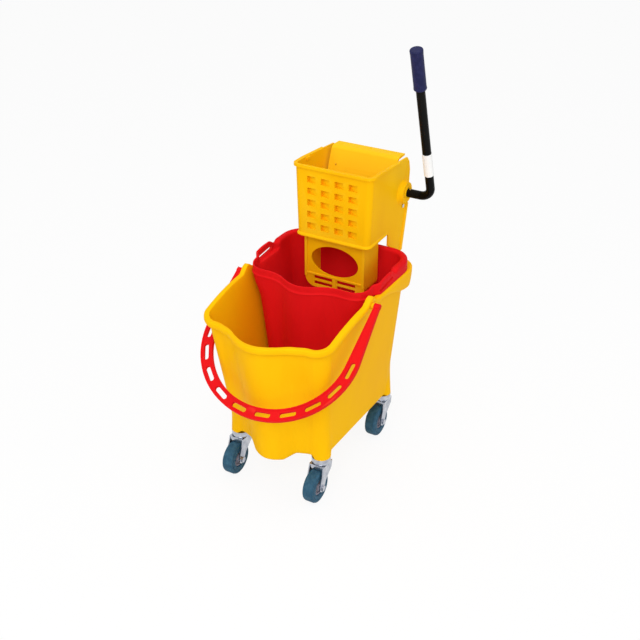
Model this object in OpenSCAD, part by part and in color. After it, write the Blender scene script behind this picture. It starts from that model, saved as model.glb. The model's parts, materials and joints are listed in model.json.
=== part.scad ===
// Double mop bucket trolley: a yellow main bucket on four swivel casters, a red
// inner bucket hung in its rear half, and a lever wringer hooked on the inner bucket.
// Millimetres, +Z up, front of the bucket towards -Y, lever on the +X side, floor at Z = 0.

/* [Main bucket] */
// Outside width of the wall at the rear rim
rim_w = 308; // [300:1:320]
// Outside width of the wall at the floor
floor_w = 244; // [236:1:252]
// Centre line to the front wall, at the height of the rear rim
rim_front = 221; // [214:1:228]
// Centre line to the front wall at the floor
floor_front = 168; // [164:1:174]
// Centre line to the rear wall at the rear rim
rim_rear = 186; // [182:1:192]
// Centre line to the rear wall at the floor
floor_rear = 178; // [174:1:182]
// Height of the rear rim
rim_rear_z = 444; // [436:1:452]
// Height of the front rim
rim_front_z = 410; // [402:1:416]
// Distance in front of the centre from which the rim rises
rim_low_y = 228; // [222:1:234]
// Bend of the rim's rise: below 1 it rises early
rim_curve = 0.6; // [0.5:0.05:1]
// Wall thickness of the main bucket
wall = 4; // [3:0.5:5]
// Front corner radius at the rim
front_r = 32; // [28:1:36]
// Rear corner radius
rear_r = 52; // [44:1:58]
// How far the middle of the front bulges out
lobe_out = 45; // [40:1:50]
// Half width of the bulge
lobe_half = 120; // [112:1:126]
// Depth of the soft grooves beside the front bulge
groove_depth = 2; // [0:0.5:3]
// Overhang of the rim skirt at the front
skirt_front = 9; // [8:0.5:11]
// Overhang of the rim skirt at the rear
skirt_rear = 26; // [20:1:30]
// Height of the rim skirt at the front
skirt_front_h = 15; // [13:0.5:18]
// Height of the rim skirt at the rear
skirt_rear_h = 46; // [38:1:52]
// Wall of the rim skirt
skirt_wall = 3; // [2.5:0.25:3.5]
// Rise of the ears over the rim
ear_rise = 16; // [10:1:20]
// Half length of an ear along the rim
ear_half = 27; // [22:1:32]
// How far the ears lie forward of the centre
ear_fwd = 29; // [24:1:34]
// Height of the floor over the casters' tops
foot_h = 6; // [4:1:9]
// Depth of the foot under the front bulge
lobe_foot = 15; // [12:1:18]
// Half width of that foot
foot_half = 58; // [52:1:62]
// Width of the foot's slanted ends
foot_slope = 22; // [16:1:26]

/* [Bail handle] */
// Radius of the pivot studs on the ears
stud_r = 3.5; // [3:0.25:4]
// Height of the bail's pivot below the rear rim
bail_drop = 6; // [4:1:10]
// Distance from the centre to the middle of an arm's eye
bail_eye_x = 175; // [173:1:178]
// Half width of the bail at its widest, to the middle of the strap
bail_half_w = 176.25; // [175:0.25:179]
// Straight reach of the arms before the bow
bail_arm = 140; // [130:1:150]
// Depth of the bow
bail_bow = 163.05; // [158:0.05:168]
// Width of the strap round the bow
strap_w = 27.5; // [26:0.5:29]
// Width of an arm at its eye
arm_w = 13; // [11:0.5:14]
// Thickness of the strap
strap_t = 7; // [5:0.5:9]
// Width of the raised edges of the strap
edge_w = 3.5; // [3:0.25:4]
// Height of the raised edges
edge_h = 1.5; // [1:0.25:2]
// Number of slots round the bow
slot_count = 10; // [8:1:12]
// Length of a slot
bail_slot_l = 38; // [30:1:40]
// Width of a slot
bail_slot_w = 10.5; // [8:0.5:12]
// Angle at which the bail hangs below the level
bail_hang = 38.5; // [36:0.5:39]

/* [Inner bucket] */
// Gap between the two buckets' walls
nest_gap = 2.5; // [2:0.25:4]
// Wall thickness of the inner bucket
inner_wall = 3.5; // [3:0.25:4.5]
// How far its front wall lies forward of the centre, at the rim
inner_front = 44; // [40:1:48]
// How far its front wall leans back at the floor
inner_lean = 20; // [14:1:26]
// Bulge of its front wall
inner_lobe = 30; // [24:1:34]
// Half width of that bulge
inner_lobe_half = 85; // [78:1:92]
// Gap from the main bucket's floor to its floor
inner_floor_gap = 20; // [18:1:28]
// Height of its rim over the rear rim of the main bucket
inner_rim_h = 20; // [18:1:24]
// Rise of its rear rim over its side rim
inner_rear_rise = 8; // [5:1:12]
// Ledge by which it rests on the main bucket's rim
ledge_out = 13; // [11:0.5:15]
// Bead round the front of its rim
bead_out = 1.5; // [1:0.25:2]
// Length of a hand slot in its side
hand_slot_l = 62; // [54:1:68]
// Height of a hand slot
hand_slot_h = 9; // [7:0.5:9.5]
// Rest gap between pieces that lift apart
rest_gap = 0.3; // [0.25:0.05:0.5]

/* [Wringer] */
// Height of the wringer's top edge
cage_top = 677; // [670:1:684]
// Height of the wringer's lower edge
cage_low = 505; // [500:1:510]
// Outside width at the top edge
cage_top_w = 196; // [190:1:200]
// Outside width at the lower edge
cage_low_w = 184; // [180:1:188]
// Centre line to the front face
cage_front = 83; // [78:1:88]
// Rear edge of the side walls
cage_rear = 280; // [276:1:284]
// Wall of the wringer
cage_wall = 4; // [3.5:0.25:4.5]
// Extra thickness of the grid behind the front wall
grid_pad = 10; // [8:0.5:11]
// Web left behind each window of the grid
window_back = 2; // [1.5:0.25:3]
// Radius of the front corners
cage_r = 14; // [11:1:17]
// Lip round the top edge
lip_out = 5; // [3:0.5:6]
// Grid columns
grid_cols = 4; // [3:1:4]
// Grid rows
grid_rows = 5; // [4:1:5]
// Column pitch
grid_px = 35; // [33:0.5:36]
// Row pitch
grid_pz = 28; // [26:0.5:29]
// Window width
window_w = 22; // [19:0.5:24]
// Window height
window_h = 15; // [12:0.5:17]
// Front edge of a hanger leg
leg_front = 186; // [182:1:189]
// Drive shaft axis, back from the centre
shaft_y = 248; // [247:0.5:250]
// Drive shaft axis height
shaft_z = 588; // [587:0.5:590]
// Radius of the round bosses
boss_r = 24; // [21:0.5:26]
// Height of the bosses over the side walls
boss_out = 12; // [9:0.5:14]

/* [Chute] */
// Width of the chute
chute_w = 155; // [148:1:158]
// Front face of the chute behind the wringer's front
chute_set = 15; // [13:0.5:18]
// Depth of the chute
chute_d = 66; // [60:1:68]
// Length of the chute below the wringer
chute_l = 133; // [125:1:140]
// Wall of the chute
chute_wall = 3.5; // [3:0.25:4]
// Width of the oval opening
oval_w = 122; // [112:1:126]
// Height of the oval opening
oval_h = 74; // [66:1:78]
// Rim that hangs the chute in the wringer
chute_rim = 6; // [5:0.5:7]

/* [Press plate] */
// Hinge axis, back from the centre
hinge_y = 184; // [182:0.5:186]
// Hinge axis over the wringer's lower edge
hinge_rise = 15.5; // [15:0.5:18]
// Hinge pin radius
hinge_r = 4; // [3:0.25:5]
// Width of the press plate
plate_w = 172; // [166:1:174]
// Thickness of the plate
plate_t = 4; // [3:0.25:4.5]
// Length of the plate from the hinge to its bend
plate_l = 160; // [154:1:162]
// Depth of the flange bent back at the top
flange_d = 28; // [24:1:30]
// Lean of the plate at rest
plate_lean = 21; // [20:0.25:22]

/* [Lever] */
// Drive shaft radius
shaft_r = 6; // [5:0.25:6.5]
// Lever tube radius
tube_r = 10; // [9:0.25:10.5]
// Distance from the centre to the upright tube
lever_x = 167; // [163:1:170]
// Radius of the tube's bend
bend_r = 28; // [24:1:32]
// Length of the straight tube over the bend
tube_l = 266; // [256:1:274]
// Forward lean of the lever at rest
lever_lean = 17.4; // [15:0.2:19]
// Grip radius
grip_r = 14.5; // [13:0.25:15.5]
// Grip length
grip_l = 94; // [88:1:100]
// Distance of the white band over the bend
band_at = 38; // [28:1:48]
// Length of the plain white band on the tube
band_l = 59; // [50:1:64]
// Wall of the white band
band_wall = 0.9; // [0.7:0.1:1.2]
// Room between a cam's nose and the plate's flange
cam_room = 18; // [16.5:0.25:19]
// Radius of a cam's nose
nose_r = 7; // [6:0.25:8]
// Thickness of a cam
cam_t = 10; // [8:0.5:11]
// Distance from the centre to a cam
cam_x = 52; // [46:1:56]
// Spring wire radius
wire_r = 1.2; // [1:0.1:1.4]
// Turns of each return spring
spring_turns = 6; // [5:1:7]

/* [Casters] */
// Half track of the swivel axes
track_half = 106; // [104:1:110]
// Half wheelbase of the swivel axes
base_half = 148.5; // [146:0.5:150]
// Wheel radius
wheel_r = 37.5; // [36:0.5:38]
// Width of the tyre
tyre_w = 26; // [24:0.5:27]
// Radius at which the tyre sits on the hub
hub_r = 19; // [17.5:0.5:21]
// Trail of the wheel from the swivel axis
trail = 27; // [24:0.5:30]
// Overall height of a caster
caster_h = 102; // [101:0.5:105]
// Fork plate thickness
fork_t = 2.6; // [2.2:0.1:3]
// Axle bolt radius
axle_r = 4; // [3.5:0.25:4.5]
// Kingpin radius
king_r = 5; // [4.5:0.25:5.5]
// Stem radius in the socket
stem_r = 5.5; // [5:0.25:6.5]
// Stem length in the socket
stem_l = 22; // [20:1:23]
// Race ball radius
ball_r = 2.75; // [2.5:0.05:3]
// Pitch radius of the race
race_r = 14.5; // [14:0.25:15]
// Balls in a race
ball_count = 12; // [8:1:12]

/* [Fits] */
// Radial gap of a running fit
run_gap = 0.05; // [0.03:0.01:0.08]
// Radial gap of pieces that are fixed in each other
fix_gap = 0.02; // [0.01:0.01:0.04]

/* [Hidden] */
$fn = 48;
yellow = "#f9ba13";
red = "#d8191c";
zinc = "#b4b8c0";
steel = "#9a9ca2";
blue_grey = "#4c6c81";
hub_grey = "#908e9b";

// Heights that follow from the caster and the bucket
floor_z = caster_h + foot_h;
bail_z = rim_rear_z - bail_drop;

// Smooth step and rounded bump, both over 0 to 1
function clamp01(t) = max(0, min(1, t));
function ease(t) = let (c = clamp01(t)) c * c * (3 - 2 * c);
function bump(t) = abs(t) < 1 ? pow(cos(90 * t), 2) : 0;
function mix(a, b, t) = a + (b - a) * t;

// Points along each stretch of a bucket's outline
front_n = 29;
arc_n = 7;
side_n = 11;
rear_n = 9;
ring_n = front_n + 4 * arc_n + 2 * side_n + rear_n;

// Closed outline: half width a, front f, rear r, corner radii rf and rr, bulge b over half width h,
// and groove depth g beside the bulge; all grow by o. Runs from the front left, seen from above.
function outline(a, f, r, rf, rr, b, h, g, o) = concat(
    [for (i = [0 : front_n - 1])
        let (x = mix(-(a - rf), a - rf, i / (front_n - 1)))
        [x, -(f + o) - b * bump(x / h) + g * bump((abs(x) - 0.62 * h) / (0.2 * h))]],
    [for (i = [0 : arc_n - 1])
        let (t = -90 + 90 * (i + 1) / (arc_n + 1))
        [a - rf + (rf + o) * cos(t), -f + rf + (rf + o) * sin(t)]],
    [for (i = [0 : side_n - 1]) [a + o, mix(-f + rf, r - rr, i / (side_n - 1))]],
    [for (i = [0 : arc_n - 1])
        let (t = 90 * (i + 1) / (arc_n + 1))
        [a - rr + (rr + o) * cos(t), r - rr + (rr + o) * sin(t)]],
    [for (i = [0 : rear_n - 1]) [mix(a - rr, rr - a, i / (rear_n - 1)), r + o]],
    [for (i = [0 : arc_n - 1])
        let (t = 90 + 90 * (i + 1) / (arc_n + 1))
        [rr - a + (rr + o) * cos(t), r - rr + (rr + o) * sin(t)]],
    [for (i = [0 : side_n - 1]) [-a - o, mix(r - rr, -f + rf, i / (side_n - 1))]],
    [for (i = [0 : arc_n - 1])
        let (t = 180 + 90 * (i + 1) / (arc_n + 1))
        [rf - a + (rf + o) * cos(t), -f + rf + (rf + o) * sin(t)]]);

// Solid skinned over a stack of rings with equal point counts, closed by its first and last ring
module skin(rings) {
    n = len(rings[0]);
    m = len(rings);
    sides = [for (k = [0 : m - 2]) for (i = [0 : n - 1])
        let (j = (i + 1) % n)
        each [[k * n + i, k * n + n + j, k * n + j], [k * n + i, k * n + n + i, k * n + n + j]]];
    first = [for (i = [0 : n - 1]) i];
    last = [for (i = [0 : n - 1]) (m - 1) * n + n - 1 - i];
    polyhedron([for (ring = rings) each ring], concat(sides, [first], [last]), convexity = 10);
}
// Wall skinned over a stack of rings, its last ring joined to its first
module tube(rings) {
    n = len(rings[0]);
    m = len(rings);
    sides = [for (k = [0 : m - 1]) for (i = [0 : n - 1])
        let (a = k * n, b = (k + 1) % m * n, j = (i + 1) % n)
        each [[a + i, b + j, a + j], [a + i, b + i, b + j]]];
    polyhedron([for (ring = rings) each ring], sides, convexity = 10);
}

// Main bucket outline at a height, grown by o
function taper(z) = (z - floor_z) / (rim_rear_z - floor_z);
function main_half(z) = mix(floor_w, rim_w, taper(z)) / 2;
function main_outline(z, o) = let (u = taper(z)) outline(
    main_half(z), mix(floor_front, rim_front, u), mix(floor_rear, rim_rear, u),
    front_r, rear_r, lobe_out, lobe_half * mix(0.76, 1, clamp01(u)), groove_depth, o);
main_plan = main_outline(rim_rear_z, 0);
function rim_rise(y) = pow(clamp01((y + rim_low_y) / (rim_low_y - ear_fwd)), rim_curve);
function main_rim_z(y) = rim_front_z
    + (rim_rear_z - rim_front_z) * ease(rim_rise(y))
    + ear_rise * bump((y + ear_fwd) / ear_half);
// Share of the rear skirt at a point of the plan: none at the ears, whole along the rear
function rear_share(y) = ease((y - ear_half) / (rim_rear - ear_half - rear_r / 2));
function skirt_out(y) = mix(skirt_front, skirt_rear, ease((y - rim_rear + rear_r) / rear_r));
function skirt_h(y) = mix(skirt_front_h, skirt_rear_h, rear_share(y));

// Ring of the main bucket whose points each have their own height and offset
function main_ring(dz, fo, fs, fh) = [for (i = [0 : ring_n - 1])
    let (y = main_plan[i].y)
    let (z = main_rim_z(y) + dz + fh * skirt_h(y))
    let (p = main_outline(z, fo + fs * skirt_out(y))[i])
    [p.x, p.y, z]];
function main_level(z, o) = [for (p = main_outline(z, o)) [p.x, p.y, z]];

// Lower edge of the wall, which runs down to a foot under the front bulge; d moves the foot back
function foot_share(p) = p.y < -0.7 * floor_front ? clamp01((foot_half - abs(p.x)) / foot_slope) : 0;
function foot_ring(o, d) = [for (p = main_outline(floor_z, o))
    let (k = foot_share(p))
    [p.x, p.y + d * k, floor_z - lobe_foot * k]];
module main_shell() {
    under = skirt_wall + 1;
    round = 5;
    tube([
        foot_ring(-3, -2),
        main_level(floor_z + 7, 0),
        main_ring(-under, 0, 0, 0),
        main_ring(-under, -skirt_wall, 1, 0),
        main_ring(0, -skirt_wall, 1, -1),
        main_ring(0, 0, 1, -1),
        main_ring(-round, 0, 1, 0),
        main_ring(-round * 0.35, -round * 0.2, 1, 0),
        main_ring(0, -round * 0.8, 1, 0),
        main_ring(0, -wall + round * 0.5, 0, 0),
        main_ring(-round * 0.5, -wall, 0, 0),
        main_level(floor_z + wall + 8, -wall),
        foot_ring(-9, -1)]);
    translate([0, 0, floor_z + 0.5]) linear_extrude(wall - 0.5) polygon(main_outline(floor_z + 2, -5));
}

// The four caster places: name, x and y
corners = [["fl", -1, -1], ["fr", 1, -1], ["rl", -1, 1], ["rr", 1, 1]];
function corner_of(c) = [for (k = corners) if (k[0] == c) k][0];
column_r = 22;
column_top_r = 16;
column_h = 86;
socket_h = stem_l + 5.5;

// Columns over the casters: they run out in the wall, and end in short sockets inside
module caster_columns() {
    difference() {
        for (k = corners)
            translate([k[1] * track_half, k[2] * base_half, caster_h])
                cylinder(r1 = column_r, r2 = column_top_r, h = column_h);
        skin([main_level(floor_z + 2 * wall, -wall / 2), main_level(floor_z + column_h, -wall / 2)]);
    }
    for (k = corners)
        translate([k[1] * track_half, k[2] * base_half, caster_h + 1])
            cylinder(r = stem_r + 6, h = socket_h - 1);
}
module main_bucket() color(yellow) difference() {
    union() {
        main_shell();
        caster_columns();
        for (s = [-1, 1])
            translate([s * (main_half(bail_z) - wall / 2), -ear_fwd, bail_z])
                rotate([0, s * 90, 0]) {
                    cylinder(r = stud_r + 4, h = stud_seat - main_half(bail_z) + wall / 2);
                    cylinder(r = stud_r, h = stud_end - main_half(bail_z) + wall / 2);
                }
    }
    for (k = corners)
        translate([k[1] * track_half, k[2] * base_half, caster_h - 1])
            cylinder(r = stem_r + fix_gap, h = stem_l + 1 + rest_gap);
}

// Bail: the seat and end of each stud, along X
stud_seat = bail_eye_x - arm_w / 2 - rest_gap;
eye_cover = 3;
eye_r = stud_r + 3;
stud_end = bail_eye_x + arm_w / 2 - eye_cover - rest_gap;

// Point of the bow at angle t, grown by o
function bow(t, o) = [(bail_half_w + o) * cos(t), bail_arm + (bail_bow + o) * sin(t)];
// Outline of the strap between two offsets from its middle line
module strap(o1, o2) {
    n = 40;
    e1 = o1 * arm_w / strap_w;
    e2 = o2 * arm_w / strap_w;
    polygon(concat(
        [[bail_eye_x + e2, -eye_r], [bail_eye_x + e2, eye_r]],
        [for (i = [0 : n]) bow(180 * i / n, o2)],
        [[-bail_eye_x - e2, eye_r], [-bail_eye_x - e2, -eye_r],
         [-bail_eye_x - e1, -eye_r], [-bail_eye_x - e1, eye_r]],
        [for (i = [0 : n]) bow(180 - 180 * i / n, o1)],
        [[bail_eye_x + e1, eye_r], [bail_eye_x + e1, -eye_r]]));
}
module slot_2d(l, w) {
    square([l - w, w], center = true);
    for (s = [-1, 1]) translate([s * (l - w) / 2, 0]) circle(d = w);
}
module bail_handle() color(red)
    translate([0, -ear_fwd, bail_z]) rotate([180 + bail_hang, 0, 0]) difference() {
        union() {
            translate([0, 0, -strap_t / 2]) linear_extrude(strap_t) difference() {
                strap(-strap_w / 2, strap_w / 2);
                for (i = [0 : slot_count - 1]) {
                    t = 90 + (i - (slot_count - 1) / 2) * 170 / (slot_count - 1);
                    translate(bow(t, 0))
                        rotate(atan2(bail_bow * cos(t), -bail_half_w * sin(t)))
                            slot_2d(bail_slot_l, bail_slot_w);
                }
            }
            translate([0, 0, -strap_t / 2 - edge_h]) linear_extrude(strap_t + 2 * edge_h) {
                strap(strap_w / 2 - edge_w, strap_w / 2);
                strap(-strap_w / 2, -strap_w / 2 + edge_w);
            }
            for (s = [-1, 1]) translate([s * bail_eye_x, 0, 0]) rotate([0, 90, 0])
                cylinder(r = eye_r, h = arm_w, center = true);
        }
        for (s = [-1, 1]) translate([s * (bail_eye_x - eye_cover), 0, 0]) rotate([0, 90, 0])
            cylinder(r = stud_r + run_gap, h = arm_w, center = true);
    }

// Inner bucket: follows the main bucket's inside with a gap, from its own front wall to the rear
inner_floor_z = floor_z + wall + inner_floor_gap;
step_z = rim_rear_z + rest_gap;
inner_side_z = rim_rear_z + inner_rim_h;
function inner_half(z) = main_half(z) - wall - nest_gap;
function inner_outline(z, o) = let (u = taper(z)) outline(
    inner_half(z), inner_front - inner_lean * (1 - u), mix(floor_rear, rim_rear, u) - wall - nest_gap,
    34, rear_r - wall - nest_gap, inner_lobe, inner_lobe_half, groove_depth / 2, o);
inner_plan = inner_outline(rim_rear_z, 0);
// The ledge widens behind the ears, and the rim rises along the rear
function ledge(y) = mix(bead_out, ledge_out, ease((y - ear_half + ear_fwd - 6) / 18));
function inner_rim_z(y) = inner_side_z + inner_rear_rise * ease((y - 78) / 26);
function inner_ring(fz, dz, fo, fs) = [for (i = [0 : ring_n - 1])
    let (y = inner_plan[i].y)
    let (z = mix(step_z, inner_rim_z(y), fz) + dz)
    let (p = inner_outline(step_z, fo + fs * ledge(y))[i])
    [p.x, p.y, z]];
function inner_level(z, o) = [for (p = inner_outline(z, o)) [p.x, p.y, z]];

module inner_bucket() {
    round = 4;
    color(red) difference() {
        skin([
            inner_level(inner_floor_z, -6),
            inner_level(inner_floor_z + 7, 0),
            inner_ring(0, 0, 0, 0),
            inner_ring(0, 0, 0, 1),
            inner_ring(1, -round, 0, 1),
            inner_ring(1, -round * 0.3, -round * 0.25, 1),
            inner_ring(1, 0, -round * 0.7, 1),
            inner_ring(1, 0, -inner_wall + round * 0.5, 0),
            inner_ring(1, -round * 0.5, -inner_wall, 0),
            inner_ring(0, 0, -inner_wall, 0),
            inner_level(inner_floor_z + inner_wall + 8, -inner_wall),
            inner_level(inner_floor_z + inner_wall, -inner_wall - 8)]);
        for (s = [-1, 1])
            translate([s * inner_half(step_z), 44, step_z + inner_rim_h * 0.5])
                rotate([90, 0, 90])
                    translate([0, 0, -2 * ledge_out]) linear_extrude(4 * ledge_out)
                        slot_2d(hand_slot_l, hand_slot_h);
    }
}

// Wringer: the side walls lean out as they rise
function cage_half(z) = mix(cage_low_w, cage_top_w, (z - cage_low) / (cage_top - cage_low)) / 2;
inner_rear = rim_rear - wall - nest_gap + ledge_out;
rear_rim_top = inner_side_z + inner_rear_rise;
leg_low = step_z + inner_wall + 2 + rest_gap;
cage_taper = atan((cage_top_w - cage_low_w) / 2 / (cage_top - cage_low));
// Right half of the wringer's plan, its side wall's outer face at x = 0:
// a block grown by o that reaches e further back
module cage_block(o, e) {
    translate([-cage_low_w, cage_front - o])
        square([cage_low_w - cage_r, cage_rear + e - cage_front + o]);
    translate([-cage_low_w, cage_front + cage_r])
        square([cage_low_w + o, cage_rear + e - cage_front - cage_r]);
    translate([-cage_r, cage_front + cage_r]) circle(r = cage_r + o);
}
module cage_plan(o, w) difference() {
    cage_block(o, 0);
    cage_block(-w, 20);
}
// Right half: the leaning wall and the lip round its top, cut to the side view
module cage_half_shell() intersection() {
    union() {
        translate([cage_half(cage_low), 0, cage_low]) rotate([0, cage_taper, 0])
            translate([0, 0, leg_low - cage_low - 20]) linear_extrude(cage_top - leg_low + 40)
                cage_plan(0, cage_wall);
        translate([cage_half(cage_top), 0, cage_top - 6]) linear_extrude(6) cage_plan(lip_out, cage_wall / 2);
    }
    translate([-2, 0, 0]) rotate([90, 0, 90]) linear_extrude(cage_top_w) polygon(cage_side);
}
// Side view of the wringer's walls, with the hanger leg and its notch for the inner bucket's rim
rim_slot_rear = inner_rear + 2;
cage_side = [
    [cage_front - 20, cage_low], [leg_front - 4, cage_low], [leg_front, cage_low - 4],
    [leg_front + 2, rear_rim_top + rest_gap],
    [rim_slot_rear, rear_rim_top + rest_gap], [rim_slot_rear, leg_low],
    [rim_slot_rear + 70, leg_low], [cage_rear, shaft_z - 34],
    [cage_rear, cage_top - 44], [cage_rear - 7, cage_top - 22], [cage_rear - 18, cage_top - 9],
    [cage_front + 45, cage_top], [cage_front - 20, cage_top]];
bush_r = tube_r + 3.5;
boss_face = cage_half(shaft_z) + boss_out;
bar_front = shaft_y - 2;
bar_top = shaft_z - 20;
bar_t = 4;
bar_d = 16;
bar_h = 34;
screw_r = 2.2;
screw_z = bar_top - bar_h / 2;
screw_y = bar_front + 6;
ledge_top = cage_low + 3;
ledge_l = leg_front - 36 - cage_front - chute_set;
hinge_z = cage_low + hinge_rise;
// Blind ends of the hinge pin's holes in the side walls
hinge_end = cage_half(hinge_z) - cage_wall / 4;

module along_x(x1, x2, y, z, r) translate([x1, y, z]) rotate([0, 90, 0]) cylinder(r = r, h = x2 - x1);

module wringer_cage() color(yellow) difference() {
    union() {
        cage_half_shell();
        mirror([1, 0, 0]) cage_half_shell();
        grid_w = grid_px * (grid_cols - 1) + window_w + 8;
        grid_h = grid_pz * (grid_rows - 1) + window_h + 8;
        translate([-grid_w / 2, cage_front + 1, grid_mid - grid_h / 2])
            cube([grid_w, cage_wall + grid_pad - 1, grid_h]);
        translate([-cage_half(cage_low) + cage_r, cage_front - 3, cage_low])
            cube([2 * (cage_half(cage_low) - cage_r), 4, 4]);
        for (s = [0, 1]) mirror([s, 0, 0]) {
            along_x(cage_half(shaft_z) - cage_wall / 2, boss_face, shaft_y, shaft_z, boss_r);
            translate([chute_w / 2 + rest_gap, cage_front + chute_set, ledge_top - 7])
                cube([cage_half(cage_low) - cage_wall / 2 - chute_w / 2 - rest_gap, ledge_l, 7]);
            translate([cage_half(cage_top) - cage_wall - 4, cage_front + 48, cage_top - 8])
                cube([5, 14, 5]);
        }
    }
    for (i = [0 : grid_cols - 1]) for (j = [0 : grid_rows - 1])
        translate([(i - (grid_cols - 1) / 2) * grid_px - window_w / 2, cage_front - 10,
                   grid_mid + (j - (grid_rows - 1) / 2) * grid_pz - window_h / 2])
            cube([window_w, 10 + cage_wall + grid_pad - window_back, window_h]);
    along_x(0, cage_top_w, shaft_y, shaft_z, bush_r + fix_gap);
    along_x(-cage_top_w, 0, shaft_y, shaft_z, shaft_r + 3.5 + fix_gap);
    along_x(-hinge_end, hinge_end, hinge_y, hinge_z, hinge_r + fix_gap);
    along_x(-cage_top_w, cage_top_w, screw_y, screw_z, screw_r + fix_gap);
}
grid_mid = (cage_low + cage_top) / 2 - 2;

// Chute: an open box hung by its rim on the ledges inside the wringer
chute_front = cage_front + chute_set;
chute_low = cage_low - chute_l;
module wringer_chute() color(yellow) {
    corner = 26;
    difference() {
        union() {
            translate([-chute_w / 2, chute_front, chute_low])
                cube([chute_w, chute_d, ledge_top - chute_low + 3]);
            translate([-chute_w / 2 - chute_rim, chute_front, ledge_top])
                cube([chute_w + 2 * chute_rim, leg_front - 40 - chute_front, 3]);
            for (s = [-1, 1]) translate([s * (chute_w / 2 - 3) - 3, chute_front - 3, chute_low + corner])
                cube([6, 4, cage_low - chute_low - corner - 2]);
            translate([-chute_w / 2 + 3, chute_front - 2, chute_low + 31.5]) cube([chute_w - 6, 3, 4]);
            translate([-4, chute_front - 2, chute_low + 4]) cube([8, 3, 29]);
        }
        translate([-chute_w / 2 + chute_wall, chute_front + chute_wall, chute_low - 1])
            cube([chute_w - 2 * chute_wall, chute_d, ledge_top - chute_low + 1]);
        for (i = [-3 : 3]) translate([i * 20 - 6, chute_front + 10, ledge_top - 2])
            cube([12, chute_d - 20, 6]);
        translate([0, chute_front - 5, cage_low - 21 - oval_h / 2]) rotate([-90, 0, 0])
            linear_extrude(chute_wall + 9)
                polygon([for (i = [0 : 59]) [oval_w / 2 * cos(6 * i), oval_h / 2 * sin(6 * i)]]);
        for (s = [-1, 1]) translate([s * chute_w / 2, 0, chute_low]) rotate([-90, 0, 0])
            translate([0, 0, chute_front - 5]) linear_extrude(chute_d + 10) difference() {
                square(2 * corner, center = true);
                translate([-s * corner, -corner]) circle(r = corner);
                translate([-s * corner - s * corner / 2, 0]) square([corner, 4 * corner], center = true);
            }
        for (s = [-1, 1]) for (k = [0, 1])
            translate([s * 30 - 24, chute_front - 1, chute_low + 7 + 14 * k]) cube([48, chute_wall + 2, 9]);
    }
}

// Cross bar between the side walls, behind the shaft: an angle with a threaded block at each end
module rear_crossbar() color(yellow) {
    half = cage_half(bar_top - bar_h) - cage_wall - rest_gap;
    difference() {
        union() {
            translate([-half, bar_front, bar_top - bar_t]) cube([2 * half, bar_d, bar_t]);
            translate([-half, bar_front, bar_top - bar_h]) cube([2 * half, bar_t, bar_h]);
            for (s = [0, 1]) mirror([s, 0, 0])
                translate([half - 12, screw_y - 5, screw_z - 6]) cube([12, 10, 12]);
        }
        along_x(-cage_top_w, cage_top_w, screw_y, screw_z, screw_r + fix_gap);
    }
}
module crossbar_screws() color(zinc) for (s = [0, 1]) mirror([s, 0, 0]) {
    along_x(cage_half(screw_z) - 15, cage_half(screw_z) + 0.5, screw_y, screw_z, screw_r);
    along_x(cage_half(screw_z) + 0.3, cage_half(screw_z) + 2.4, screw_y, screw_z, 2 * screw_r);
}

// Press plate, drawn upright at its hinge and leaned back; its flange is level at rest
flange_up = flange_d * tan(plate_lean);
module press_plate() color(yellow) translate([0, hinge_y, hinge_z]) rotate([-plate_lean, 0, 0]) difference() {
    union() {
        rotate([90, 0, 90]) translate([0, 0, -plate_w / 2]) linear_extrude(plate_w)
            polygon([[-plate_t, 2], [0, 2], [0, plate_l - 6], [3, plate_l - 2], [8, plate_l],
                     [flange_d, plate_l - 2 + flange_up],
                     [flange_d, plate_l - 2 + flange_up + plate_t],
                     [6, plate_l + plate_t + 1], [-1, plate_l + 1], [-plate_t, plate_l - 6]]);
        along_x(-plate_w / 2, plate_w / 2, 0, 0, hinge_r + 3);
        for (x = [-75, -28, 28, 75]) translate([x - 1.5, -1, 6]) cube([3, 6, plate_l - 16]);
    }
    along_x(-plate_w, plate_w, 0, 0, hinge_r + run_gap);
    translate([4, flange_d * 0.55, plate_l - 8]) cylinder(r = 2.5, h = 30);
    for (s = [-1, 1]) translate([s * plate_w * 0.39, -10, plate_l - 42])
        rotate([-90, 0, 0]) cylinder(r = screw_r, h = 20);
}
module plate_hinge_pin() color(steel)
    along_x(-hinge_end + rest_gap, hinge_end - rest_gap, hinge_y, hinge_z, hinge_r);

// Lever group: shaft along X, drawn upright and leaned forward about the shaft
module about_shaft(a) translate([0, shaft_y, shaft_z]) rotate([a, 0, 0]) children();
shaft_left = -boss_face - 2;
tube_in = cage_half(shaft_z) - cage_wall - 8;
shaft_right = lever_x - bend_r;
module drive_shaft() color(steel) about_shaft(lever_lean) difference() {
    along_x(shaft_left, shaft_right, 0, 0, shaft_r);
    for (s = [-1, 1]) translate([s * cam_x, 0, -shaft_r - 1])
        cylinder(r = 1.5 + fix_gap, h = 2 * shaft_r + 2);
    translate([pin_x, 0, -shaft_r - 1]) cylinder(r = 2 + fix_gap, h = 2 * shaft_r + 2);
}
pin_x = boss_face + 8;
module shaft_bushes() color(yellow) {
    difference() {
        union() {
            along_x(boss_face - boss_out - cage_wall, boss_face, shaft_y, shaft_z, bush_r);
            along_x(boss_face, boss_face + 2, shaft_y, shaft_z, bush_r + 2.5);
        }
        along_x(0, boss_face + 5, shaft_y, shaft_z, tube_r + run_gap);
    }
    difference() {
        union() {
            along_x(-boss_face, -boss_face + boss_out + cage_wall, shaft_y, shaft_z, shaft_r + 3.5);
            along_x(-boss_face - 2, -boss_face, shaft_y, shaft_z, shaft_r + 6);
        }
        along_x(-boss_face - 5, 0, shaft_y, shaft_z, shaft_r + run_gap);
    }
}
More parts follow.
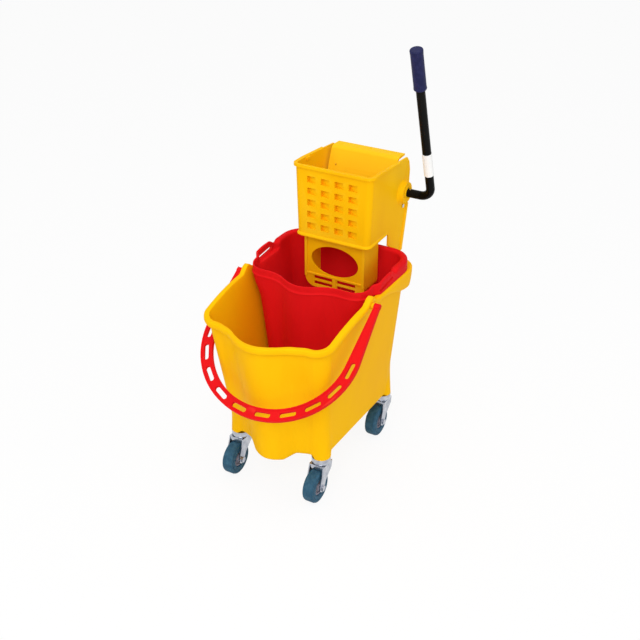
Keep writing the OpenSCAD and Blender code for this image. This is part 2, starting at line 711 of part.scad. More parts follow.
// Cams point up, set so that their noses lie just behind the leaned press plate
cam_side = sin(plate_lean) * (shaft_z - hinge_z) - cos(plate_lean) * (shaft_y - hinge_y);
cam_across = -cam_side - nose_r - rest_gap;
cam_along = plate_l - 2 - nose_r - cam_room
    - sin(plate_lean) * (shaft_y - hinge_y) - cos(plate_lean) * (shaft_z - hinge_z);
cam_reach = norm([cam_across, cam_along]);
cam_turn = asin(cam_across / cam_reach) - plate_lean;
module press_cams() color(zinc) about_shaft(cam_turn) for (s = [-1, 1]) difference() {
    union() {
        along_x(s * cam_x - cam_t / 2, s * cam_x + cam_t / 2, 0, 0, shaft_r + 5);
        along_x(s * cam_x - cam_t / 2, s * cam_x + cam_t / 2, 0, cam_reach, nose_r);
        translate([s * cam_x, 0, 0]) rotate([90, 0, 90]) linear_extrude(cam_t, center = true)
            polygon([[-shaft_r - 4, 3], [shaft_r + 4, 3], [nose_r, cam_reach], [-nose_r, cam_reach]]);
    }
    along_x(s * cam_x - cam_t, s * cam_x + cam_t, 0, 0, shaft_r + fix_gap);
    rotate([lever_lean - cam_turn, 0, 0]) translate([s * cam_x, 0, -shaft_r - 8])
        cylinder(r = 1.5 + fix_gap, h = 2 * shaft_r + 16);
}
module cam_pins() color(steel) about_shaft(lever_lean)
    for (s = [-1, 1]) translate([s * cam_x, 0, -shaft_r - 4]) cylinder(r = 1.5, h = 2 * shaft_r + 8);

module tube_section() difference() {
    circle(r = tube_r);
    circle(r = shaft_r + fix_gap);
}
// Frame of the upright tube over the bend, and of the grip at its top
module lever_up() translate([lever_x, 0, bend_r]) children();
module lever_path_end() lever_up() translate([0, 0, tube_l]) children();
module lever_tube() color("#131311") about_shaft(lever_lean) difference() {
    union() {
        translate([tube_in, 0, 0]) rotate([90, 0, 90])
            linear_extrude(lever_x - bend_r - tube_in) tube_section();
        translate([lever_x - bend_r, 0, bend_r]) rotate([90, 0, 0]) rotate([0, 0, -90])
            rotate_extrude(angle = 90) translate([bend_r, 0]) tube_section();
        lever_up() linear_extrude(tube_l + grip_l - 8) tube_section();
    }
    translate([pin_x, 0, -tube_r - 1]) cylinder(r = 2 + fix_gap, h = 2 * tube_r + 2);
}
module lever_pin() color(zinc) about_shaft(lever_lean)
    translate([pin_x, 0, -tube_r - 0.8]) cylinder(r = 2, h = 2 * tube_r + 1.6);
module lever_band() color("white") about_shaft(lever_lean)
    lever_up() translate([0, 0, band_at]) linear_extrude(band_l) difference() {
        circle(r = tube_r + fix_gap + band_wall);
        circle(r = tube_r + fix_gap);
    }
module lever_grip() color("#343257") about_shaft(lever_lean) lever_path_end() difference() {
    rotate_extrude() polygon(concat(
        [[0, -2], [grip_r - 1, -2], [grip_r, 0], [grip_r - 0.6, 6], [grip_r - 0.6, grip_l - 12]],
        [for (i = [0 : 6])
            let (t = 15 * i)
            [grip_r - 3 + 3 * cos(t), grip_l - 3 + 3 * sin(t)]],
        [[0, grip_l]]));
    translate([0, 0, -3]) cylinder(r = tube_r + fix_gap, h = grip_l - 8 + 3 + rest_gap);
}

// Return springs: a wound wire with two straight ends, one tube without breaks
coil_r = shaft_r + 2 + wire_r;
coil_pitch = 2 * wire_r + 0.9;
coil_x = cam_x - cam_t / 2 - wire_r - 1 - coil_pitch * (spring_turns + 0.5);
leg_drop = shaft_z - bar_top - rest_gap;
curl_rings = 8;
wire_sides = 6;
// Middle line of a spring: down from the bar, round the shaft and up in front of it
function coil_line() = concat(
    [[coil_x, coil_r, -leg_drop], [coil_x, coil_r, -leg_drop / 2]],
    [for (i = [0 : spring_turns * curl_rings + curl_rings / 2])
        let (t = 360 * i / curl_rings)
        [coil_x + coil_pitch * t / 360, coil_r * cos(t), coil_r * sin(t)]],
    [[coil_x + coil_pitch * (spring_turns + 0.5), -coil_r, -6]]);
module wire(line, r, sides) {
    m = len(line);
    function dir(i) = let (d = line[min(i + 1, m - 1)] - line[max(i - 1, 0)]) d / norm(d);
    rings = [for (i = [0 : m - 1])
        let (d = dir(i), u0 = cross(d, [1, 0, 0]), u = u0 / norm(u0), v = cross(d, u))
        [for (k = [0 : sides - 1]) line[i] + r * (u * cos(360 * k / sides) + v * sin(360 * k / sides))]];
    skin(rings);
}
module return_springs() {
    color(steel) for (s = [0, 1]) mirror([s, 0, 0]) about_shaft(0) wire(coil_line(), wire_r, wire_sides);
    echo(spring_gap = coil_pitch - 2 * wire_r);
}

// Caster: swivel axis at the origin, floor at Z = 0, wheel towards -Y
cup_z = caster_h - 6;
ring_z = cup_z - ball_r + 0.5;
ball_z = cup_z - ball_r / 2 - 0.2;
crown_z = ball_z - 8;
fork_in = tyre_w / 2 + 3;
nut_h = 6;
// Lip of the fork's crown over the tyre
lip_h = crown_z - fork_t - 2 * wheel_r - 1.8;
nut_z = crown_z - fork_t - rest_gap - nut_h;
module place(c) {
    k = corner_of(c);
    translate([k[1] * track_half, k[2] * base_half, 0]) children();
}
module caster_stem(c) color(zinc) place(c) difference() {
    union() {
        translate([0, 0, caster_h]) cylinder(r = stem_r, h = stem_l);
        translate([0, 0, ball_z + 1]) cylinder(r = race_r + 7, h = caster_h - ball_z - 1);
        translate([0, 0, nut_z - 0.5]) cylinder(r = king_r, h = caster_h - nut_z + 0.5);
        translate([0, 0, ball_z - 4]) difference() {
            cylinder(r = race_r + 7, h = 6);
            translate([0, 0, -1]) cylinder(r = race_r + 5.2, h = 8);
        }
    }
    translate([0, 0, ball_z]) rotate_extrude() translate([race_r, 0]) circle(r = ball_r + run_gap);
}
module kingpin_nut(c) color(zinc) place(c) translate([0, 0, nut_z]) difference() {
    cylinder(r = 8.5, h = nut_h, $fn = 6);
    translate([0, 0, -1]) cylinder(r = king_r + fix_gap, h = nut_h + 2);
}
module race_balls(c) color(steel) place(c) for (i = [0 : ball_count - 1]) rotate(360 * i / ball_count)
    translate([race_r, 0, ball_z]) sphere(r = ball_r, $fn = 16);
module caster_fork(c) color(zinc) place(c) difference() {
    union() {
        translate([0, 0, crown_z]) cylinder(r = race_r + 4.4, h = ball_z - 1 - crown_z);
        translate([-fork_in - fork_t, -21, crown_z - fork_t]) cube([2 * (fork_in + fork_t), 38, fork_t + 1]);
        translate([-fork_in - fork_t / 2, -21, crown_z - fork_t - lip_h])
            cube([2 * fork_in + fork_t, fork_t, lip_h + 1]);
        for (s = [0, 1]) mirror([s, 0, 0]) translate([fork_in, 0, 0]) {
            rotate([90, 0, 90]) linear_extrude(fork_t) polygon([
                [17, crown_z], [-21, crown_z], [-trail - 11, wheel_r + 4], [-trail - 9, wheel_r],
                [-trail + 9, wheel_r - 3], [-trail + 16, wheel_r + 12], [14, crown_z - 16]]);
            along_x(0, fork_t, -trail, wheel_r, 10);
        }
    }
    translate([0, 0, crown_z - 10]) cylinder(r = king_r + run_gap, h = 30);
    translate([0, 0, ball_z]) rotate_extrude() translate([race_r, 0]) circle(r = ball_r + run_gap);
    along_x(-40, 40, -trail, wheel_r, axle_r + fix_gap);
}
module axle_bolt(c) color(zinc) place(c) {
    along_x(-fork_in - fork_t - 7, fork_in + fork_t + 0.5, -trail, wheel_r, axle_r);
    translate([fork_in + fork_t, -trail, wheel_r]) rotate([0, 90, 0])
        cylinder(r = 1.8 * axle_r, h = 4.5, $fn = 6);
}
module axle_nut(c) color(zinc) place(c)
    translate([-fork_in - fork_t - 6, -trail, wheel_r]) rotate([0, 90, 0]) difference() {
        cylinder(r = 1.8 * axle_r, h = 6, $fn = 6);
        translate([0, 0, -1]) cylinder(r = axle_r + fix_gap, h = 8);
    }
module wheel_hub(c) color(hub_grey) place(c) translate([0, -trail, wheel_r]) rotate([0, 90, 0]) difference() {
    union() {
        cylinder(r = hub_r, h = tyre_w - 6, center = true);
        cylinder(r = 9, h = 2 * fork_in - 2 * rest_gap, center = true);
    }
    cylinder(r = axle_r + run_gap, h = 80, center = true);
    for (s = [-1, 1]) translate([0, 0, s * (tyre_w / 2 - 3)]) difference() {
        cylinder(r = hub_r - 3.5, h = 7, center = true);
        cylinder(r = 11, h = 8, center = true);
    }
}
// Groove that runs round each side of a tyre
line_r = wheel_r - 8;
module wheel_tyre(c) color(blue_grey) place(c) translate([0, -trail, wheel_r]) rotate([0, 90, 0])
    rotate_extrude() polygon([
        [hub_r + fix_gap, -tyre_w / 2 + 3], [hub_r + 1.5, -tyre_w / 2],
        [line_r - 1, -tyre_w / 2], [line_r - 0.5, -tyre_w / 2 + 0.8],
        [line_r + 0.5, -tyre_w / 2 + 0.8], [line_r + 1, -tyre_w / 2],
        [wheel_r - 4, -tyre_w / 2], [wheel_r - 1.2, -tyre_w / 2 + 1.4], [wheel_r, -tyre_w / 2 + 4.5],
        [wheel_r, tyre_w / 2 - 4.5], [wheel_r - 1.2, tyre_w / 2 - 1.4], [wheel_r - 4, tyre_w / 2],
        [line_r + 1, tyre_w / 2], [line_r + 0.5, tyre_w / 2 - 0.8],
        [line_r - 0.5, tyre_w / 2 - 0.8], [line_r - 1, tyre_w / 2],
        [hub_r + 1.5, tyre_w / 2], [hub_r + fix_gap, tyre_w / 2 - 3]]);

main_bucket();
bail_handle();
inner_bucket();
wringer_cage();
wringer_chute();
rear_crossbar();
crossbar_screws();
press_plate();
plate_hinge_pin();
shaft_bushes();
drive_shaft();
press_cams();
cam_pins();
return_springs();
lever_tube();
lever_pin();
lever_band();
lever_grip();
for (k = corners) {
    caster_stem(k[0]);
    kingpin_nut(k[0]);
    race_balls(k[0]);
    caster_fork(k[0]);
    axle_bolt(k[0]);
    axle_nut(k[0]);
    wheel_hub(k[0]);
    wheel_tyre(k[0]);
}
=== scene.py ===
"""Looks of a double mop bucket trolley, dressed over its solid model.

The pieces' sizes are in millimetres and degrees, the studio's in metres.
"""

import json
import logging
import math
from dataclasses import dataclass, field
from enum import Enum
from typing import Any, Optional, Sequence

import bpy
import numpy as np
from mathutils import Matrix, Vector

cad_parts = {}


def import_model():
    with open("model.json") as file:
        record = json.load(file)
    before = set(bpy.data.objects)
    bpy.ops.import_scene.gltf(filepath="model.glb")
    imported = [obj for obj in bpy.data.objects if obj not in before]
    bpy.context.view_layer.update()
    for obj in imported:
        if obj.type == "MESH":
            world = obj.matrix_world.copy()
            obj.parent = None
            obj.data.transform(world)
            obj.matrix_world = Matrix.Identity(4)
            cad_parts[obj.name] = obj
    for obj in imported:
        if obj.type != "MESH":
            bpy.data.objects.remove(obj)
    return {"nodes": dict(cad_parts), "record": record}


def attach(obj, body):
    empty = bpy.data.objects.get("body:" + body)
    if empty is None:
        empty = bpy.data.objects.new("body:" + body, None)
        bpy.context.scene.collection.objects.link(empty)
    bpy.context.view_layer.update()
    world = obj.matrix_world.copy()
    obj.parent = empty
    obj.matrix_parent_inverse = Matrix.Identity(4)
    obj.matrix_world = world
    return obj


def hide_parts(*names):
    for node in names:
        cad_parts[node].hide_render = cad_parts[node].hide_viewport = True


LOG = logging.getLogger("trolley")
MM = 0.001
MM_PER_M = 1000
Array = np.ndarray
Steps = tuple[tuple[float, float], ...]
SIDES = ((-1, "left"), (1, "right"))
EDGE_MM = 0.5
MOULDED_EDGE_MM = 0.8
# These solids are round already, or their small faces fold when their edges are rounded.
LEFT_SHARP = ("race_balls", "return_springs", "lever_tube", "lever_band", "lever_grip", "wheel_tyre",
              "drive_shaft", "press_cams", "press_plate", "rear_crossbar")


def linear(code: str) -> tuple[float, float, float, float]:
    """Turns an sRGB hex colour to linear values.

    Args:
        code: six hex digits, with or without a leading hash.

    Returns:
        Linear red, green, blue and an alpha of one.
    """
    code = code.lstrip("#")
    parts = [int(code[i:i + 2], 16) / 255 for i in (0, 2, 4)]
    return tuple(p / 12.92 if p <= 0.04045 else ((p + 0.055) / 1.055) ** 2.4 for p in parts) + (1.0,)


def add(tree: bpy.types.NodeTree, kind: str, values: Optional[dict[Any, Any]] = None,
        links: Optional[dict[Any, Any]] = None, **settings: Any) -> bpy.types.Node:
    """Adds a node with its settings, socket values and links.

    Args:
        tree: the tree that takes the node.
        kind: the node's type name.
        values: socket to value.
        links: socket to the output that feeds it.
        settings: properties of the node.

    Returns:
        The new node.
    """
    node = tree.nodes.new(kind)
    for name, value in settings.items():
        setattr(node, name, value)
    for name, value in (values or {}).items():
        node.inputs[name].default_value = value
    for name, source in (links or {}).items():
        tree.links.new(source, node.inputs[name])
    return node


def start_surface(
        name: str) -> tuple[bpy.types.Material, bpy.types.NodeTree, bpy.types.Node, bpy.types.NodeSocket]:
    """Starts a material.

    Args:
        name: the material's name.

    Returns:
        The material, its tree, its shader and the object's own coordinates.
    """
    material = bpy.data.materials.new(name)
    material.use_nodes = True
    tree = material.node_tree
    place = add(tree, "ShaderNodeTexCoord").outputs["Object"]
    return material, tree, tree.nodes["Principled BSDF"], place


def noise(tree: bpy.types.NodeTree, size_mm: float, detail: float, place: bpy.types.NodeSocket,
          roughness: float = 0.5) -> bpy.types.NodeSocket:
    """Adds a noise pattern.

    Args:
        tree: the material's tree.
        size_mm: size of its cells.
        detail: number of finer layers.
        place: coordinates that it uses.
        roughness: strength of the finer layers.

    Returns:
        The pattern's value.
    """
    values = {"Scale": MM_PER_M / size_mm, "Detail": detail, "Roughness": roughness}
    return add(tree, "ShaderNodeTexNoise", values, {"Vector": place}).outputs["Fac"]


def two_tone(tree: bpy.types.NodeTree, pattern: bpy.types.NodeSocket, low: tuple[float, str],
             high: tuple[float, str]) -> bpy.types.NodeSocket:
    """Turns a pattern to a blend of two colours.

    Args:
        tree: the material's tree.
        pattern: the value that chooses.
        low: value and hex colour of the lower end.
        high: value and hex colour of the upper end.

    Returns:
        The blended colour.
    """
    node = add(tree, "ShaderNodeValToRGB", links={"Fac": pattern})
    for stop, (value, code) in zip(node.color_ramp.elements, (low, high)):
        stop.position, stop.color = value, linear(code)
    return node.outputs[0]


def finish_surface(tree: bpy.types.NodeTree, shader: bpy.types.Node, wear: bpy.types.NodeSocket,
                   rough: tuple[float, float], height: bpy.types.NodeSocket, strength: float,
                   depth_mm: float) -> None:
    """Gives a shader its uneven gloss and its bump.

    Args:
        tree: the material's tree.
        shader: its shader.
        wear: the value that varies the gloss.
        rough: lowest and highest roughness.
        height: the value that raises the bump.
        strength: the bump's strength.
        depth_mm: the bump's depth.
    """
    dull = add(tree, "ShaderNodeMapRange", {1: 0.3, 2: 0.7, 3: rough[0], 4: rough[1]}, {0: wear})
    tree.links.new(dull.outputs[0], shader.inputs["Roughness"])
    bump = add(tree, "ShaderNodeBump", {"Strength": strength, "Distance": depth_mm * MM},
               {"Height": height})
    tree.links.new(bump.outputs[0], shader.inputs["Normal"])


@dataclass(frozen=True)
class PigmentedSkin:
    """Plastic, film or powder coat: even colour with faint flow streaks, convex edges painted lighter as a
    painted highlight, a satin gloss and a fine grain.
    """

    name: str
    body: str
    streak: str
    # Lighter colour of the convex edges: a painted highlight.
    worn: str
    roughness: float = 0.42
    streak_mm: float = 90.0
    # The tool grain is near 0.3 mm; it is drawn at 2.2 mm so that it shows.
    grain_mm: float = 2.2
    bump: float = 0.05
    specular: float = 0.015

    def build(self) -> bpy.types.Material:
        """Builds the material.

        Returns:
            The finished material.
        """
        material, tree, shader, place = start_surface(self.name)
        shader.inputs["IOR"].default_value = 1.49
        shader.inputs["Specular IOR Level"].default_value = self.specular
        stretch = add(tree, "ShaderNodeMapping", {"Scale": (1.0, 1.0, 0.35)}, {"Vector": place})
        flow = noise(tree, self.streak_mm, 3.0, stretch.outputs[0], 0.45)
        tint = two_tone(tree, flow, (0.34, self.streak), (0.62, self.body))
        # Convex edges are painted lighter by their pointiness: a painted edge highlight.
        edge = add(tree, "ShaderNodeNewGeometry").outputs["Pointiness"]
        edge_highlight_share = add(tree, "ShaderNodeMapRange", {1: 0.53, 2: 0.62, 3: 0.0, 4: 0.55}, {0: edge})
        blend = add(tree, "ShaderNodeMix", {7: linear(self.worn)}, {0: edge_highlight_share.outputs[0], 6: tint},
                    data_type="RGBA")
        tree.links.new(blend.outputs[2], shader.inputs["Base Color"])
        finish_surface(tree, shader, flow, (self.roughness - 0.05, self.roughness + 0.07),
                       noise(tree, self.grain_mm, 2.0, place), self.bump, 0.6)
        return material


@dataclass(frozen=True)
class PlatedSteel:
    """Pressed or drawn steel with a bright coat: a metal gloss, faint draw lines and a cloudy bloom."""

    name: str
    bright: str
    cloud: str
    roughness: float = 0.3
    # Draw lines are near 0.1 mm apart; they are drawn at 0.8 mm so that they show.
    line_mm: float = 0.8
    cloud_mm: float = 14.0

    def build(self) -> bpy.types.Material:
        """Builds the material.

        Returns:
            The finished material.
        """
        material, tree, shader, place = start_surface(self.name)
        shader.inputs["Metallic"].default_value = 1.0
        bloom = noise(tree, self.cloud_mm, 4.0, place)
        tint = two_tone(tree, bloom, (0.35, self.cloud), (0.65, self.bright))
        tree.links.new(tint, shader.inputs["Base Color"])
        thin = add(tree, "ShaderNodeMapping", {"Scale": (1.0, 1.0, 0.06)}, {"Vector": place})
        lines = noise(tree, self.line_mm, 2.0, thin.outputs[0])
        finish_surface(tree, shader, lines, (self.roughness - 0.08, self.roughness + 0.1), lines,
                       0.06, 0.3)
        return material


@dataclass(frozen=True)
class SoftElastomer:
    """Moulded rubber or vinyl: a dark matt skin, paler where it is scuffed, with a pebbled surface."""

    name: str
    body: str
    scuffed: str
    roughness: float = 0.55
    # The skin's pebble is near 0.4 mm; it is drawn at 1.4 mm so that it shows.
    pebble_mm: float = 1.4
    scuff_mm: float = 9.0

    def build(self) -> bpy.types.Material:
        """Builds the material.

        Returns:
            The finished material.
        """
        material, tree, shader, place = start_surface(self.name)
        shader.inputs["IOR"].default_value = 1.52
        shader.inputs["Specular IOR Level"].default_value = 0.14
        scuff = noise(tree, self.scuff_mm, 5.0, place)
        tint = two_tone(tree, scuff, (0.42, self.body), (0.75, self.scuffed))
        tree.links.new(tint, shader.inputs["Base Color"])
        pebble = add(tree, "ShaderNodeTexVoronoi", {"Scale": MM_PER_M / self.pebble_mm}, {"Vector": place})
        finish_surface(tree, shader, scuff, (self.roughness - 0.06, self.roughness + 0.1),
                       pebble.outputs["Distance"], 0.1, 0.4)
        return material


class Slot(Enum):
    """Material slots of the part, with the finish that each takes."""

    # The third colour of each skin is the painted highlight on its convex edges.
    yellow_plastic = PigmentedSkin("yellow_moulded_polypropylene", "#FBC00B", "#F7B808", "#FFD02A")
    red_plastic = PigmentedSkin("red_moulded_polypropylene", "#E41C20", "#DA181C", "#F03C32")
    grey_plastic = PigmentedSkin("grey_moulded_nylon", "#908E9B", "#83818F", "#A9A8B4", 0.45)
    blue_tyre = SoftElastomer("blue_grey_tyre_rubber", "#2A526A", "#3C667E")
    violet_rubber = SoftElastomer("violet_grip_vinyl", "#1C1F47", "#282B57", 0.5)
    black_paint = PigmentedSkin("black_powder_coat", "#0B0B0A", "#070707", "#1E1E1C",
                                roughness=0.3, streak_mm=40.0, grain_mm=1.2, bump=0.12, specular=0.05)
    white_film = PigmentedSkin("white_vinyl_film", "#F2F2F0", "#E9E9E6", "#FAFAF9", 0.4, 30.0)
    zinc_steel = PlatedSteel("zinc_plated_pressed_steel", "#C9CCD3", "#A6ABB6", 0.2)
    bright_steel = PlatedSteel("bright_drawn_steel", "#B4B7BE", "#9A9DA5", 0.24)

    def material(self) -> bpy.types.Material:
        """Gives the finish, built once."""
        found = bpy.data.materials.get(self.value.name)
        return found if found else self.value.build()


def mesh_object(name: str, verts: Array, faces: Sequence[Sequence[int]], slot: Slot,
                sharp: float = 50.0) -> bpy.types.Object:
    """Makes a smooth shaded mesh object.

    Args:
        name: the object's name.
        verts: points in metres.
        faces: vertex numbers of each face.
        slot: its material slot.
        sharp: edges bent further than this, in degrees, stay sharp.

    Returns:
        The object, linked to the scene.
    """
    mesh = bpy.data.meshes.new(name)
    mesh.from_pydata([tuple(v) for v in verts], [], [list(f) for f in faces])
    mesh.update()
    mesh.shade_smooth()
    mesh.set_sharp_from_angle(angle=math.radians(sharp))
    mesh.materials.append(slot.material())
    obj = bpy.data.objects.new(name, mesh)
    bpy.context.scene.collection.objects.link(obj)
    return obj


def ring_faces(rows: int, count: int, wrap: bool = False) -> list[list[int]]:
    """Lists the quads between closed rings.

    Args:
        rows: number of rings.
        count: points in a ring.
        wrap: whether the last ring joins the first.

    Returns:
        Vertex numbers of each quad.
    """
    faces = []
    for k in range(rows if wrap else rows - 1):
        a, b = k * count, (k + 1) % rows * count
        for i in range(count):
            j = (i + 1) % count
            faces.append([a + i, a + j, b + j, b + i])
    return faces


def loft(name: str, rings: Sequence[Array], slot: Slot, sharp: float = 50.0) -> bpy.types.Object:
    """Makes a closed skin over rings, with a flat cap at each end.

    Args:
        name: the object's name.
        rings: rings of points in metres.
        slot: its material slot.
        sharp: edges bent further than this stay sharp.

    Returns:
        The object.
    """
    count = len(rings[0])
    faces = ring_faces(len(rings), count)
    faces.append(list(range(count))[::-1])
    faces.append([(len(rings) - 1) * count + i for i in range(count)])
    verts = np.vstack(rings)
    fans = np.array([(f[0], f[i], f[i + 1]) for f in faces for i in range(1, len(f) - 1)])
    a, b, c = (verts[fans[:, k]] for k in range(3))
    if (a * np.cross(b, c)).sum() < 0:
        faces = [f[::-1] for f in faces]
    return mesh_object(name, verts, faces, slot, sharp)


def lathe(name: str, profile: Sequence[tuple[float, float]], centre: Vector, axis: Vector, slot: Slot,
          steps: int = 48) -> bpy.types.Object:
    """Turns a profile round an axis.

    Args:
        name: the object's name.
        profile: distance along the axis and radius of each step, in millimetres, both ends capped.
        centre: the axis' start in metres.
        axis: its direction.
        slot: the material slot.
        steps: points round the axis.

    Returns:
        The object.
    """
    along = axis.normalized()
    side = along.orthogonal().normalized()
    up = along.cross(side)
    turn = np.linspace(0, 2 * math.pi, steps, endpoint=False)
    spread = np.cos(turn)[:, None] * np.array(side) + np.sin(turn)[:, None] * np.array(up)
    rings = [np.array(centre) + np.array(along) * h * MM + spread * r * MM for h, r in profile]
    return loft(name, rings, slot, 38.0)


def ease(t: Array) -> Array:
    """Smooth step from 0 to 1."""
    c = np.clip(t, 0, 1)
    return c * c * (3 - 2 * c)


def bump_form(t: Array) -> Array:
    """Rounded bump over -1 to 1."""
    return np.where(np.abs(t) < 1, np.cos(np.pi / 2 * np.clip(t, -1, 1)) ** 2, 0.0)


def mix(a: Any, b: Any, t: Any) -> Any:
    """Straight mix of two values."""
    return a + (b - a) * t


@dataclass
class Outline:
    """Points round a bucket's plan: a bulged front, round corners and straight sides."""

    front_r: float
    rear_r: float
    bulge: float
    groove: float
    front_n: int = 121
    arc_n: int = 20
    side_n: int = 41
    rear_n: int = 31
    groove_at: float = 0.62
    groove_half: float = 0.2

    def __post_init__(self) -> None:
        """Lists each point's stretch and its place along it."""
        counts = [n for straight in (self.front_n, self.side_n, self.rear_n, self.side_n)
                  for n in (straight, self.arc_n)]
        self.part = np.concatenate([np.full(n, k) for k, n in enumerate(counts)])
        self.along = np.concatenate([np.linspace(0, 1, n) if k % 2 == 0 else (np.arange(n) + 1) / (n + 1)
                                     for k, n in enumerate(counts)])

    def points(self, a: Array, f: Array, r: Array, h: Array, o: Array,
               front_r: Optional[Array] = None) -> Array:
        """Places every point.

        Args:
            a: half width at each point.
            f: front reach at each point.
            r: rear reach at each point.
            h: half width of the bulge at each point.
            o: how far each point lies outside the plan.
            front_r: radius of the front corners at each point, where it isn't the plan's own.

        Returns:
            X and Y of each point in millimetres.
        """
        t, rr = self.along, self.rear_r
        rf = np.full(len(t), self.front_r) if front_r is None else front_r
        x, y = np.zeros_like(t), np.zeros_like(t)
        fx = mix(-(a - rf), a - rf, t)
        groove = bump_form((np.abs(fx) - self.groove_at * h) / (self.groove_half * h))
        fy = -(f + o) - self.bulge * bump_form(fx / h) + self.groove * groove
        turn = {1: -90, 3: 0, 5: 90, 7: 180}
        for k in range(8):
            on = self.part == k
            if k == 0:
                x[on], y[on] = fx[on], fy[on]
            elif k in (2, 6):
                s = 1 if k == 2 else -1
                ends = (-f + rf, r - rr) if k == 2 else (r - rr, -f + rf)
                x[on], y[on] = (s * (a + o))[on], mix(ends[0], ends[1], t)[on]
            elif k == 4:
                x[on], y[on] = mix(a - rr, rr - a, t)[on], (r + o)[on]
            else:
                ang = np.radians(turn[k] + 90 * t)
                rad = rf if k in (1, 7) else rf * 0 + rr
                s = 1 if k in (1, 3) else -1
                cy = -f + rf if k in (1, 7) else r - rr
                x[on] = (s * (a - rad) + (rad + o) * np.cos(ang))[on]
                y[on] = (cy + (rad + o) * np.sin(ang))[on]
        return np.stack([x, y], 1)


def outward(plan: Array) -> Array:
    """Gives the outward direction at each point of a closed plan.

    Args:
        plan: X and Y of each point, running anticlockwise.

    Returns:
        Unit directions.
    """
    run = np.roll(plan, -1, 0) - np.roll(plan, 1, 0)
    out = np.stack([run[:, 1], -run[:, 0]], 1)
    return out / np.maximum(np.linalg.norm(out, axis=1, keepdims=True), 1e-9)


